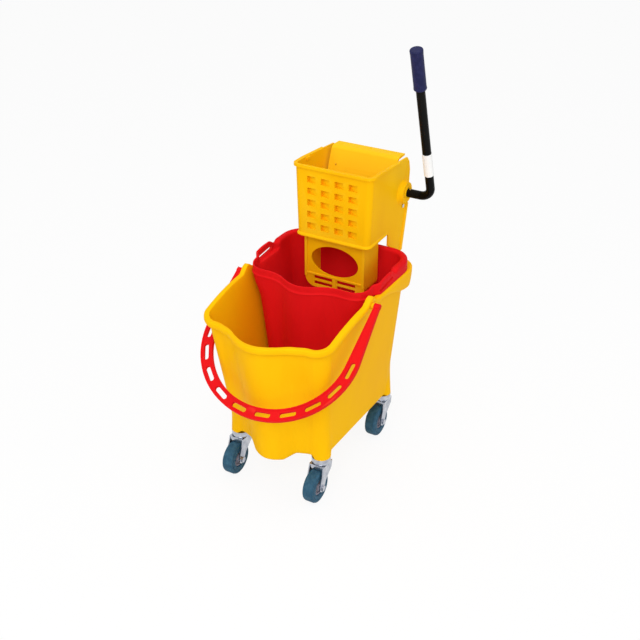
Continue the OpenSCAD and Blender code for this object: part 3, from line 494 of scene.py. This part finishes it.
@dataclass
class MainBucket:
    """The yellow main bucket: tapered wall, rolled rim, ears, caster columns and front foot."""

    floor_z: float = 108.0
    rim_rear_z: float = 444.0
    rim_front_z: float = 410.0
    rim_low_y: float = 228.0
    rim_curve: float = 0.6
    floor_w: float = 244.0
    rim_w: float = 308.0
    floor_front: float = 168.0
    rim_front: float = 221.0
    floor_rear: float = 178.0
    rim_rear: float = 186.0
    wall: float = 4.0
    lobe_half: float = 120.0
    ear_rise: float = 16.0
    ear_half: float = 27.0
    ear_fwd: float = 29.0
    skirt_front: float = 9.0
    skirt_rear: float = 26.0
    skirt_front_h: float = 15.0
    skirt_rear_h: float = 46.0
    skirt_wall: float = 3.0
    foot_h: float = 6.0
    lobe_foot: float = 15.0
    foot_half: float = 58.0
    foot_slope: float = 22.0
    column_r: float = 22.0
    column_top_r: float = 16.0
    column_h: float = 86.0
    column_from: float = 2.0
    column_full: float = 5.0
    column_share: float = 1.3
    column_blend: float = 30.0
    column_sink: float = 1.2
    column_far: float = 20.0
    column_fade_z: float = 175.0
    column_fade_h: float = 45.0
    track_half: float = 106.0
    base_half: float = 148.5
    lobe_low: float = 0.76
    base_in: float = 3.0
    foot_zone: float = 0.7
    under_lift: float = 0.5
    under_in: float = 22.0
    under_edge_in: float = 12.0
    under_edge_h: float = 4.0
    foot_edge: Steps = ((-9.0, 0.6), (-7.0, 0.0), (-4.0, 0.0), (-2.4, 0.7), (-1.4, 2.0))
    foot_out: float = 0.8
    outside_rows: int = 34
    inside_rows: int = 26
    row_crowd: float = 1.4
    wall_from: float = 4.5
    edge_ease: float = 9.0
    skirt_edge: Steps = ((-3.0, 1.0), (-2.4, 0.2), (-1.2, 0.0), (-0.4, 0.4), (0.0, 1.2))
    skirt_crown: float = 0.9
    roll_r: float = 5.0
    rim_crown: float = 0.25
    lip_r: float = 2.6
    floor_r: float = 10.0
    floor_in: float = 30.0
    stud_r: float = 3.5
    stud_l: float = 9.0
    boss_r: float = 7.5
    bail_z: float = 438.0
    stud_seat: float = 168.0
    socket: Steps = ((0, 15.0), (4.2, 13.4), (5.5, 12.1), (7.5, 11.5), (19.4, 11.3), (20.6, 10.8),
                     (21.3, 9.6), (21.5, 8.0), (21.5, 3.0), (21.1, 2.6))
    plan: Outline = field(default_factory=lambda: Outline(32.0, 52.0, 45.0, 2.0))

    def level(self, z: Array, o: Array) -> Array:
        """Places the plan's points at their own heights and offsets.

        Args:
            z: height of each point.
            o: offset of each point.

        Returns:
            X, Y and Z of each point.
        """
        u = (z - self.floor_z) / (self.rim_rear_z - self.floor_z)
        xy = self.plan.points(mix(self.floor_w, self.rim_w, u) / 2,
                              mix(self.floor_front, self.rim_front, u),
                              mix(self.floor_rear, self.rim_rear, u),
                              self.lobe_half * mix(self.lobe_low, 1.0, np.clip(u, 0, 1)), o)
        return np.column_stack([xy, z])

    def flat(self, z: float, o: float) -> Array:
        """Gives a ring at one height and offset."""
        n = len(self.plan.along)
        return self.level(np.full(n, z), np.full(n, o))

    def rim(self) -> tuple[Array, Array, Array]:
        """Gives the rim's height and the skirt's overhang and depth at each point."""
        y = self.flat(self.rim_rear_z, 0.0)[:, 1]
        rise = np.clip((y + self.rim_low_y) / (self.rim_low_y - self.ear_fwd), 0, 1) ** self.rim_curve
        z = (self.rim_front_z + (self.rim_rear_z - self.rim_front_z) * ease(rise)
             + self.ear_rise * bump_form((y + self.ear_fwd) / self.ear_half))
        rear_r = self.plan.rear_r
        out = mix(self.skirt_front, self.skirt_rear, ease((y - self.rim_rear + rear_r) / rear_r))
        deep = mix(self.skirt_front_h, self.skirt_rear_h,
                   ease((y - self.ear_half) / (self.rim_rear - self.ear_half - rear_r / 2)))
        return z, out, deep

    def column_push(self, ring: Array) -> Array:
        """Finds how far the caster columns bulge out of the wall.

        Args:
            ring: wall points.

        Returns:
            Bulge of each point in millimetres.
        """
        xy, z = ring[:, :2], ring[:, 2]
        normal = outward(xy)
        share = np.clip((z - (self.floor_z - self.foot_h)) / self.column_h, 0, self.column_share)
        radius = mix(self.column_r, self.column_top_r, share)
        push = np.zeros(len(z))
        for sx in (-1, 1):
            for sy in (-1, 1):
                d = xy - np.array([sx * self.track_half, sy * self.base_half])
                s = (d * normal).sum(1)
                room = radius ** 2 - ((d ** 2).sum(1) - s ** 2)
                t = np.where(room > 0, -s + np.sqrt(np.maximum(room, 0)), -self.column_far)
                push = np.maximum(push, 0.5 * (t + np.sqrt(t * t + self.column_blend)) - self.column_sink)
        return np.maximum(push, 0) * (1 - ease((z - self.column_fade_z) / self.column_fade_h))

    def lower_edge(self) -> tuple[Array, Array]:
        """Gives the height of the wall's lower edge and the share of each point that is front foot."""
        base = self.flat(self.floor_z, -self.base_in)
        foot = np.where(base[:, 1] < -self.foot_zone * self.floor_front,
                        np.clip((self.foot_half - np.abs(base[:, 0])) / self.foot_slope, 0, 1), 0)
        column = ease((self.column_push(base) - self.column_from) / self.column_full)
        return self.floor_z - np.maximum(self.lobe_foot * foot, self.foot_h * column), foot

    def rings(self) -> list[Array]:
        """Lists the rings from the underside, up the outside, over the rim and down to the inside floor."""
        low, foot = self.lower_edge()
        rim, out, deep = self.rim()
        under, inside = self.floor_z + self.under_lift, self.floor_z + self.wall
        rings = [self.flat(under, -self.under_in),
                 self.level(np.minimum(low + self.under_edge_h, under), low * 0 - self.under_edge_in)]
        roof = rim - self.skirt_wall - 1
        for o, dz in self.foot_edge:
            reach = o + foot * (self.foot_out if o > -5 else 0.0)
            rings.append(self.swell(self.level(low + dz, reach), o > -6))
        for t in np.linspace(0, 1, self.outside_rows) ** self.row_crowd:
            z = mix(low + self.wall_from, roof, t)
            rings.append(self.swell(self.level(z, ease((z - low) / self.edge_ease) - 1.0), True))
        rings.append(self.level(roof, out - self.skirt_wall))
        bottom = rim - deep
        for o, dz in self.skirt_edge:
            rings.append(self.level(bottom + dz, out + o))
        r, start = self.roll_r, bottom + self.skirt_edge[-1][1]
        for t in (0.25, 0.5, 0.75):
            rings.append(self.level(mix(start, rim - r, t), out + self.skirt_crown * math.sin(math.pi * t)))
        for a in np.radians(np.arange(0, 91, 15)):
            rings.append(self.level(rim - r + r * math.sin(a), out - r + r * math.cos(a)))
        lip, edge = self.lip_r, self.lip_r - self.wall
        rings.append(self.level(rim + self.rim_crown, 0.5 * (out - r) + 0.5 * edge))
        for a in np.radians(np.arange(90, 181, 18)):
            rings.append(self.level(rim - lip + lip * math.sin(a), low * 0 + edge + lip * math.cos(a)))
        r = self.floor_r
        for t in np.linspace(0, 1, self.inside_rows)[1:]:
            rings.append(self.level(mix(rim - lip, inside + r, t), low * 0 - self.wall))
        for a in np.radians(np.arange(15, 91, 15)):
            rings.append(self.flat(inside + r - r * math.sin(a), -self.wall - r * (1 - math.cos(a))))
        rings.append(self.flat(inside, -self.floor_in))
        return rings

    def swell(self, ring: Array, on: bool) -> Array:
        """Moves wall points out over the caster columns."""
        if on:
            ring = ring.copy()
            ring[:, :2] += outward(ring[:, :2]) * self.column_push(ring)[:, None]
        return ring

    def build(self) -> list[bpy.types.Object]:
        """Builds the bucket with its pivot studs and caster sockets.

        Returns:
            The pieces.
        """
        shell = loft("main_bucket_moulding", [r * MM for r in self.rings()], Slot.yellow_plastic, 60.0)
        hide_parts("main_bucket")
        pieces = [shell]
        share = (self.bail_z - self.floor_z) / (self.rim_rear_z - self.floor_z)
        inside = mix(self.floor_w, self.rim_w, share) / 2
        seat = self.stud_seat - inside
        end, r, boss = seat + self.stud_l, self.stud_r, self.boss_r
        stud = [(-2, boss), (seat - 3, boss), (seat - 1.6, boss - 0.2), (seat - 0.7, boss - 0.9),
                (seat - 0.4, r + 0.4), (seat, r), (end - 0.8, r), (end - 0.2, r - 0.4), (end, r - 1.3)]
        for s, side in SIDES:
            place = Vector((s * inside, -self.ear_fwd, self.bail_z)) * MM
            pieces.append(lathe(f"bail_stud_{side}", stud, place, Vector((s, 0, 0)), Slot.yellow_plastic))
        for sx, side in SIDES:
            for sy, row in ((-1, "front"), (1, "rear")):
                place = Vector((sx * self.track_half, sy * self.base_half, self.floor_z)) * MM
                pieces.append(lathe(f"caster_socket_{row}_{side}", self.socket, place, Vector((0, 0, 1)),
                                    Slot.yellow_plastic))
        for piece in pieces:
            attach(piece, "bucket")
        return pieces


@dataclass
class InnerBucket:
    """The red inner bucket: hung in the rear half, with a wide rear ledge, an upstand and hand slots."""

    outer: MainBucket = field(default_factory=MainBucket)
    wall: float = 3.5
    nest_gap: float = 2.5
    front: float = 44.0
    lean: float = 20.0
    floor_gap: float = 20.0
    rim_h: float = 20.0
    rear_rise: float = 8.0
    ledge_out: float = 13.0
    bead_out: float = 1.5
    lobe_half: float = 85.0
    slot_l: float = 62.0
    slot_h: float = 9.0
    slot_y: float = 44.0
    grip_t: float = 6.0
    grip_rise: float = 12.0
    slot_up: float = 12.0
    slot_tilt: float = 0.1
    slot_reach: tuple[float, float] = (118.0, 182.0)
    grip_front: float = -2.0
    grip_front_l: float = 14.0
    grip_end: float = 80.0
    grip_end_l: float = 16.0
    climb_from: float = -34.0
    climb_l: float = 84.0
    fall_from: float = 66.0
    fall_l: float = 26.0
    upstand_from: float = 84.0
    upstand_l: float = 18.0
    ledge_from: float = 2.0
    ledge_l: float = 18.0
    low_corner_r: float = 60.0
    flare_h: float = 70.0
    shelf_h: float = 4.5
    lip_back: float = 1.8
    lip_end: float = -30.0
    lip_end_l: float = 30.0
    lip_steps: Steps = ((2.6, 0.0), (3.4, 0.25), (4.0, 0.7), (4.6, 1.0))
    grip_foot: Steps = ((0.0, 8.0), (0.0, 2.0), (0.25, 0.6), (0.9, 0.0))
    shelf_edge: Steps = ((2.5, 0.0), (0.7, -0.6), (0.0, -2.0))
    ledge_edge: Steps = ((-0.9, 0.0), (-0.3, 0.25), (0.0, 0.9))
    # Ninths of the way from the rim's shoulder to the seat, one for each ring on the inner face.
    drop_steps: tuple[int, ...] = (1, 2, 3, 4, 6, 7, 8)
    wall_rows: int = 26
    under_in: float = 20.0
    floor_in: float = 24.0
    rim_soft: float = 6.0
    rim_round: float = 0.46
    seat_h: float = 1.5
    foot_r: float = 7.0
    floor_r: float = 8.0
    rest_gap: float = 0.3
    plan: Outline = field(default_factory=lambda: Outline(36.0, 45.5, 30.0, 1.0))

    def level(self, z: Array, o: Array, plan_z: Optional[float] = None) -> Array:
        """Places the plan's points at their own heights and offsets.

        Args:
            z: height of each point.
            o: offset of each point.
            plan_z: height whose plan is used, where it isn't the point's own.

        Returns:
            X, Y and Z of each point.
        """
        m = self.outer
        at = z if plan_z is None else z * 0 + plan_z
        u = (at - m.floor_z) / (m.rim_rear_z - m.floor_z)
        flare = ease((at - m.rim_rear_z + self.flare_h) / self.flare_h)
        corner = mix(self.low_corner_r, self.plan.front_r, flare)
        room = m.wall + self.nest_gap
        xy = self.plan.points(mix(m.floor_w, m.rim_w, u) / 2 - room, self.front - self.lean * (1 - u),
                              mix(m.floor_rear, m.rim_rear, u) - room, u * 0 + self.lobe_half, o, corner)
        return np.column_stack([xy, z])

    def rings(self) -> list[Array]:
        """Lists the rings from the underside, up the outside, over the rim and down to the inside floor."""
        m, n = self.outer, len(self.plan.along)
        step = m.rim_rear_z + self.rest_gap
        low = m.floor_z + m.wall + self.floor_gap
        one = np.ones(n)
        y = self.level(one * m.rim_rear_z, one * 0)[:, 1]
        past_ear = y - m.ear_half + m.ear_fwd
        ledge = mix(self.bead_out, self.ledge_out, ease((past_ear - self.ledge_from) / self.ledge_l))
        grip = (ease((y - self.grip_front) / self.grip_front_l)
                * (1 - ease((y - self.grip_end) / self.grip_end_l)))
        back = self.lip_back * (1 - ease((y - self.lip_end) / self.lip_end_l))
        arch = ease((y - self.climb_from) / self.climb_l) * (1 - ease((y - self.fall_from) / self.fall_l))
        upstand = ease((y - self.upstand_from) / self.upstand_l)
        rim = m.rim_rear_z + self.rim_h + self.rear_rise * upstand + self.grip_rise * arch
        rings = [self.level(one * low, one * -self.under_in)]
        r = self.foot_r
        for a in np.radians(np.arange(0, 91, 15)):
            rings.append(self.level(one * (low + r * (1 - math.cos(a))), one * (-r + r * math.sin(a))))
        for t in np.linspace(0, 1, self.wall_rows)[1:]:
            rings.append(self.level(one * mix(low + r, step, t), one * 0))
        for o, dz in self.ledge_edge:
            rings.append(self.level(one * step + dz, ledge + o, step))
        for dz, share in self.lip_steps:
            rings.append(self.level(one * step + dz, ledge - back * share, step))
        ledge = ledge - back
        inner = mix(one * -self.wall, ledge - self.grip_t, grip)
        soft = np.minimum(self.rim_soft, self.rim_round * (ledge - inner))
        shoulder = rim - soft
        for t in (0.3, 0.6, 1.0):
            rings.append(self.level(mix(step + self.lip_steps[-1][0], shoulder, t), ledge, step))
        for a in np.radians(np.arange(15, 91, 15)):
            rings.append(self.level(shoulder + soft * math.sin(a), ledge - soft + soft * math.cos(a), step))
        for a in np.radians(np.arange(90, 181, 15)):
            rings.append(self.level(shoulder + soft * math.sin(a), inner + soft + soft * math.cos(a), step))
        shelf, seat = one * (step + self.shelf_h), one * step + self.seat_h
        grip_foot = [(inner - into * grip, up) for into, up in self.grip_foot]
        shelf_edge = [(left * grip - self.wall, up) for left, up in self.shelf_edge]
        for share, (o, up) in zip(self.drop_steps, grip_foot + shelf_edge):
            rings.append(self.level(mix(mix(shoulder, seat, share / 9), shelf + up, grip), o, step))
        r, inside = self.floor_r, low + self.wall
        for t in np.linspace(0, 1, self.wall_rows)[1:]:
            rings.append(self.level(one * mix(step + self.seat_h, inside + r, t), one * -self.wall))
        for a in np.radians(np.arange(15, 91, 15)):
            rings.append(self.level(one * (inside + r - r * math.sin(a)),
                                    one * (-self.wall - r * (1 - math.cos(a)))))
        rings.append(self.level(one * inside, one * -self.floor_in))
        return rings

    def slot_cutter(self, s: int) -> bpy.types.Object:
        """Makes the tool that cuts one hand slot.

        Args:
            s: side, -1 or 1.

        Returns:
            A closed round-ended bar.
        """
        m = self.outer
        step = m.rim_rear_z + self.rest_gap
        half = (self.slot_l - self.slot_h) / 2
        turn = np.radians(np.linspace(0, 360, 48, endpoint=False))
        y = np.where(np.cos(turn) >= 0, half, -half) + self.slot_h / 2 * np.cos(turn) + self.slot_y
        z = self.slot_h / 2 * np.sin(turn) + step + self.slot_up + self.slot_tilt * (y - self.slot_y)
        rings = [np.column_stack([y * 0 + s * x, y[::s], z[::s]]) * MM for x in self.slot_reach]
        return loft("slot_cutter", rings, Slot.red_plastic)

    def build(self) -> list[bpy.types.Object]:
        """Builds the inner bucket.

        Returns:
            The pieces.
        """
        shell = loft("inner_bucket_moulding", [r * MM for r in self.rings()], Slot.red_plastic, 60.0)
        for s in (-1, 1):
            carve(shell, self.slot_cutter(s))
        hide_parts("inner_bucket")
        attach(shell, "inner_bucket")
        return [shell]


@dataclass
class WringerTrim:
    """Moulded details of the wringer: lower lip, grid floors, leg ribs, hooks and fillets at the bosses."""

    low_z: float = 505.0
    top_z: float = 677.0
    half_low: float = 92.0
    half_top: float = 98.0
    front: float = 83.0
    rear: float = 280.0
    corner_r: float = 14.0
    leg_front: float = 186.0
    grid_cols: int = 4
    grid_rows: int = 5
    grid_px: float = 35.0
    grid_pz: float = 28.0
    grid_mid: float = 589.0
    window_w: float = 22.0
    window_h: float = 15.0
    window_deep: float = 11.8
    louvre_lip: float = 1.4
    louvre_lap: float = 0.2
    lip_out: float = 3.4
    lip_h: float = 7.0
    lip_sunk: float = 1.5
    lip_stop: float = 8.0
    lip_fade: float = 20.0
    hook_front: float = 215.5
    hook_rear: float = 264.5
    leg_z: float = 450.0
    hook_z: float = 426.0
    rib_w: float = 8.0
    rib_out: float = 2.4
    rib_drop: float = 38.0
    wall: float = 4.0
    shaft_y: float = 248.0
    shaft_z: float = 588.0
    boss_r: float = 24.0
    boss_out: float = 12.2

    def half(self, z: Any) -> Any:
        """Gives the half width of the leaning side walls at a height."""
        return mix(self.half_low, self.half_top, (z - self.low_z) / (self.top_z - self.low_z))

    def lip(self) -> bpy.types.Object:
        """Sweeps the small lip round the lower edge, from one leg round the front to the other."""
        turn = np.radians(np.linspace(0, 90, 13))
        side, r = self.half_low - self.corner_r, self.corner_r
        xs = np.concatenate([[self.half_low], side + r * np.cos(turn)])
        end = self.leg_front - self.lip_stop
        ys = np.concatenate([[end], self.front + r - r * np.sin(turn)])
        nx = np.concatenate([[1.0], np.cos(turn)])
        ny = np.concatenate([[0.0], -np.sin(turn)])
        xs, nx = np.concatenate([xs, -xs[::-1]]), np.concatenate([nx, -nx[::-1]])
        ys, ny = np.concatenate([ys, ys[::-1]]), np.concatenate([ny, ny[::-1]])
        out, sunk = self.lip_out, -self.lip_sunk
        form = [(sunk, 0.3), (0.7 * out, 0.3), (0.93 * out, 0.7), (out, 1.5), (out, 2.4), (0.85 * out, 3.4),
                (0.5 * out, 4.8), (0.3, self.lip_h), (sunk, self.lip_h)]
        fade = np.clip((end - ys) / self.lip_fade, 0.25, 1)
        rings = []
        for x, y, u, v, f in zip(xs, ys, nx, ny, fade):
            reach = [(o * f if o > 0 else o, h) for o, h in form]
            rings.append(np.array([(x + u * o, y + v * o, self.low_z + h) for o, h in reach]) * MM)
        return loft("wringer_lower_lip", rings, Slot.yellow_plastic, 40.0)

    def louvres(self) -> bpy.types.Object:
        """Makes the floors of the grid's windows, which slope from deep at the left to near the face."""
        w, h = self.window_w / 2 + self.louvre_lap, self.window_h / 2 + self.louvre_lap
        deep, lip = self.window_deep, self.louvre_lip
        form = [(-w, deep - 1.6), (w - 1.5, lip + 0.3), (w, lip), (w, deep), (-w, deep)]
        verts, faces = [], []
        for i in range(self.grid_cols):
            for j in range(self.grid_rows):
                x = (i - (self.grid_cols - 1) / 2) * self.grid_px
                z = self.grid_mid + (j - (self.grid_rows - 1) / 2) * self.grid_pz
                n, k = len(verts), len(form)
                verts += [(x + u, self.front + d, z + e) for e in (-h, h) for u, d in form]
                faces += [[n + f for f in quad] for quad in ring_faces(2, k)]
                faces += [list(range(n, n + k))[::-1], list(range(n + k, n + 2 * k))]
        return mesh_object("wringer_grid_louvres", np.array(verts) * MM, [f[::-1] for f in faces],
                           Slot.yellow_plastic, 30.0)

    def plate(self, name: str, edge: Sequence[tuple[float, float]], s: int, inner: float, outer: float,
              soft: float) -> bpy.types.Object:
        """Makes a flat piece on a side wall.

        Args:
            name: the piece's name.
            edge: Y and Z of its corners.
            s: side, -1 or 1.
            inner: distance of its inner face from the wall's outer face.
            outer: distance of its outer face.
            soft: radius of its edges.

        Returns:
            The piece.
        """
        yz = np.array(edge, float)
        mid = yz.mean(0)
        small = mid + (yz - mid) * (1 - soft / np.linalg.norm(yz - mid, axis=1, keepdims=True))
        layers = ((inner, small), (inner + soft, yz), (outer - soft, yz),
                  (outer - 0.3 * soft, mix(yz, small, 0.4)), (outer, small))
        rings = [np.column_stack([s * (self.half(form[:, 1]) + x), form]) * MM for x, form in layers]
        return loft(name, rings, Slot.yellow_plastic, 40.0)

    def build(self) -> list[bpy.types.Object]:
        """Builds the details on both sides.

        Returns:
            The pieces.
        """
        pieces = [self.lip(), self.louvres()]
        front, rear, low = self.hook_front, self.hook_rear, self.hook_z
        hook = [(front, self.leg_z + 3), (front + 1, low + 6), (front + 4, low + 1.5), (front + 9, low),
                (rear - 11, low), (rear - 6, low + 1.5), (rear - 3, low + 6), (rear, self.leg_z + 3)]
        top = self.shaft_z - self.rib_drop
        rib = [(self.rear - self.rib_w - 1, top), (self.rear - 1.2, top), (rear - 3, low + 8),
               (rear - 3 - self.rib_w, low + 8)]
        r, out = self.boss_r, self.boss_out
        fillet = [(-1.5, r + 7.4), (0.4, r + 6.2), (1.4, r + 4.8), (3.2, r + 3.0), (6.0, r + 1.6),
                  (9.0, r + 0.8), (out - 1.2, r + 0.4), (out - 0.3, r - 0.2), (out, r - 1.2),
                  (out, r - 6.0), (8.0, r - 6.5)]
        for s, side in SIDES:
            pieces.append(self.plate(f"leg_hook_{side}", hook, s, -self.wall, 0.0, 0.6))
            pieces.append(self.plate(f"leg_rib_{side}", rib, s, -0.8, self.rib_out, 0.8))
            boss = Vector((s * self.half(self.shaft_z), self.shaft_y, self.shaft_z)) * MM
            pieces.append(lathe(f"boss_fillet_{side}", fillet, boss, Vector((s, 0, 0)),
                                Slot.yellow_plastic, 64))
        for piece in pieces:
            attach(piece, "wringer")
        return pieces


def carve(obj: bpy.types.Object, tool: bpy.types.Object) -> None:
    """Cuts a tool's shape out of a piece and deletes the tool.

    Args:
        obj: the piece.
        tool: the closed shape to take away.
    """
    cut = obj.modifiers.new("cut", "BOOLEAN")
    cut.operation, cut.object, cut.solver = "DIFFERENCE", tool, "EXACT"
    graph = bpy.context.evaluated_depsgraph_get()
    mesh = bpy.data.meshes.new_from_object(obj.evaluated_get(graph))
    obj.modifiers.clear()
    old = obj.data
    obj.data = mesh
    mesh.name = old.name
    mesh.shade_smooth()
    mesh.set_sharp_from_angle(angle=math.radians(50))
    bpy.data.objects.remove(tool)


@dataclass
class CadDress:
    """Rounds the edges of the solids that stay in view and gives them their finish."""

    smooth_to: float = 48.0
    round_from: float = 32.0
    round_rows: int = 2
    weld_m: float = 2e-6

    def __post_init__(self) -> None:
        """Makes the group that shades smooth up to an angle."""
        tree = bpy.data.node_groups.new("smooth_by_angle", "GeometryNodeTree")
        tree.interface.new_socket("Geometry", in_out="INPUT", socket_type="NodeSocketGeometry")
        tree.interface.new_socket("Geometry", in_out="OUTPUT", socket_type="NodeSocketGeometry")
        start = add(tree, "NodeGroupInput")
        bend = add(tree, "GeometryNodeInputMeshEdgeAngle")
        sharp = add(tree, "FunctionNodeCompare", {1: math.radians(self.smooth_to)}, {0: bend.outputs[0]},
                    operation="GREATER_THAN")
        smooth = add(tree, "GeometryNodeSetShadeSmooth", links={0: start.outputs[0]})
        normal = add(tree, "GeometryNodeSetMeshNormal", {"Remove Custom": True},
                     {"Mesh": smooth.outputs[0], "Edge Sharpness": sharp.outputs[0]})
        add(tree, "NodeGroupOutput", links={0: normal.outputs[0]})
        self.group = tree

    def dress(self, obj: bpy.types.Object, slot: Slot, edge_mm: float) -> None:
        """Dresses one solid.

        Args:
            obj: the solid's object.
            slot: its material slot.
            edge_mm: radius of its rounded edges, or 0 for none.
        """
        obj.data.materials.clear()
        obj.data.materials.append(slot.material())
        weld = obj.modifiers.new("weld", "WELD")
        weld.merge_threshold = self.weld_m
        if edge_mm:
            bevel = obj.modifiers.new("edge", "BEVEL")
            bevel.limit_method, bevel.angle_limit = "ANGLE", math.radians(self.round_from)
            bevel.width, bevel.segments = edge_mm * MM, self.round_rows
            bevel.use_clamp_overlap = True
        obj.modifiers.new("smooth", "NODES").node_group = self.group
        even = obj.modifiers.new("even", "WEIGHTED_NORMAL")
        even.keep_sharp = True


def seen_straight(tree: bpy.types.NodeTree) -> bpy.types.NodeSocket:
    """Tells the rays that show a surface, straight or by a mirror or glass, from those that light it.

    Args:
        tree: the tree that takes the nodes.

    Returns:
        A value of one for such rays and zero for the rest.
    """
    rays = add(tree, "ShaderNodeLightPath").outputs
    seen = rays["Is Camera Ray"]
    for kind in ("Is Glossy Ray", "Is Transmission Ray"):
        seen = add(tree, "ShaderNodeMath", links={0: seen, 1: rays[kind]}, operation="MAXIMUM").outputs[0]
    return seen


@dataclass
class Studio:
    """Camera, soft light and pale floor."""

    focal_px: float = 1100.0
    frame_px: float = 640.0
    azimuth: float = 29.9
    elevation: float = 26.7
    eye: tuple[float, float, float] = (1.088, -1.884, 1.562)
    middle_px: tuple[float, float] = (315.0, 271.0)
    sensor: float = 36.0
    soft_light: float = 0.66
    floor_glow: float = 0.9
    floor_half: float = 30.0

    def camera(self) -> None:
        """Sets the camera at the photograph's angle."""
        data = bpy.data.cameras.new("camera")
        data.sensor_width = self.sensor
        data.lens = self.focal_px / self.frame_px * self.sensor
        data.shift_x = (self.frame_px / 2 - self.middle_px[0]) / self.frame_px
        data.shift_y = (self.middle_px[1] - self.frame_px / 2) / self.frame_px
        data.clip_end = 60.0
        obj = bpy.data.objects.new("camera", data)
        obj.location = self.eye
        obj.rotation_euler = (math.radians(90 - self.elevation), 0.0, math.radians(self.azimuth))
        bpy.context.scene.collection.objects.link(obj)
        bpy.context.scene.camera = obj

    def lamp(self, name: str, place: Vector, aim: Vector, size: float, watts: float) -> None:
        """Adds a soft box.

        Args:
            name: its name.
            place: where it stands.
            aim: the point it faces.
            size: its side in metres.
            watts: its power.
        """
        data = bpy.data.lights.new(name, "AREA")
        data.shape, data.size, data.energy = "SQUARE", size, watts
        obj = bpy.data.objects.new(name, data)
        obj.location = place
        obj.rotation_euler = (aim - place).to_track_quat("-Z", "Y").to_euler()
        bpy.context.scene.collection.objects.link(obj)

    def surround(self) -> None:
        """Makes the soft white surround and the floor."""
        world = bpy.data.worlds.new("studio")
        bpy.context.scene.world = world
        world.use_nodes = True
        tree = world.node_tree
        tree.nodes.clear()
        soft = add(tree, "ShaderNodeBackground", {"Color": linear("#FFFFFF"), "Strength": self.soft_light})
        white = add(tree, "ShaderNodeBackground", {"Color": linear("#FFFFFF"), "Strength": 1.0})
        both = add(tree, "ShaderNodeMixShader",
                   links={0: seen_straight(tree), 1: soft.outputs[0], 2: white.outputs[0]})
        add(tree, "ShaderNodeOutputWorld", links={0: both.outputs[0]})
        material = bpy.data.materials.new("pale_floor")
        material.use_nodes = True
        tree = material.node_tree
        tree.nodes.clear()
        share = add(tree, "ShaderNodeMath", {1: self.floor_glow}, {0: seen_straight(tree)},
                    operation="MULTIPLY")
        matt = add(tree, "ShaderNodeBsdfDiffuse", {"Color": linear("#F4F4F4")})
        glow = add(tree, "ShaderNodeEmission", {"Color": linear("#FFFFFF"), "Strength": 1.0})
        both = add(tree, "ShaderNodeMixShader",
                   links={0: share.outputs[0], 1: matt.outputs[0], 2: glow.outputs[0]})
        add(tree, "ShaderNodeOutputMaterial", links={0: both.outputs[0]})
        h = self.floor_half
        mesh = bpy.data.meshes.new("floor")
        mesh.from_pydata([(-h, -h, 0), (h, -h, 0), (h, h, 0), (-h, h, 0)], [], [(0, 1, 2, 3)])
        mesh.materials.append(material)
        floor = bpy.data.objects.new("floor", mesh)
        bpy.context.scene.collection.objects.link(floor)

    def build(self) -> None:
        """Sets camera, light and floor."""
        self.camera()
        self.surround()
        aim = Vector((0, 0, 0.4))
        self.lamp("key", Vector((-0.3, -3.3, 1.5)), aim, 1.8, 7.0)
        self.lamp("fill", Vector((0.9, -2.1, 2.5)), aim, 1.4, 36.0)
        self.lamp("top", Vector((0.1, -0.4, 3.4)), aim, 1.8, 15.0)
        self.lamp("side", Vector((3.2, 0.2, 1.6)), aim, 1.8, 9.0)
        bpy.context.scene.view_settings.view_transform = "Standard"


def main(frame: dict[str, Any]) -> None:
    """Builds every piece and reports it.

    Args:
        frame: the loaded model.
    """
    logging.basicConfig(level=logging.INFO, format="%(message)s")
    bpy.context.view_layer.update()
    Studio().build()
    pieces = MainBucket().build() + InnerBucket().build() + WringerTrim().build()
    replaced = {"main_bucket", "inner_bucket"}
    slots = {row["node"]: Slot[row["material_slot"]] for row in frame["record"]["subparts"]}
    dress = CadDress()
    for node, obj in frame["nodes"].items():
        if node not in replaced:
            rounded = MOULDED_EDGE_MM if slots[node] is Slot.yellow_plastic else EDGE_MM
            edge = 0.0 if node.startswith(LEFT_SHARP) else rounded
            dress.dress(obj, slots[node], edge)
            LOG.info("solid %s: %s", node, slots[node].name)
    for piece in pieces:
        LOG.info("piece %s: %d faces", piece.name, len(piece.data.polygons))


if __name__ == "__main__":
    main(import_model())
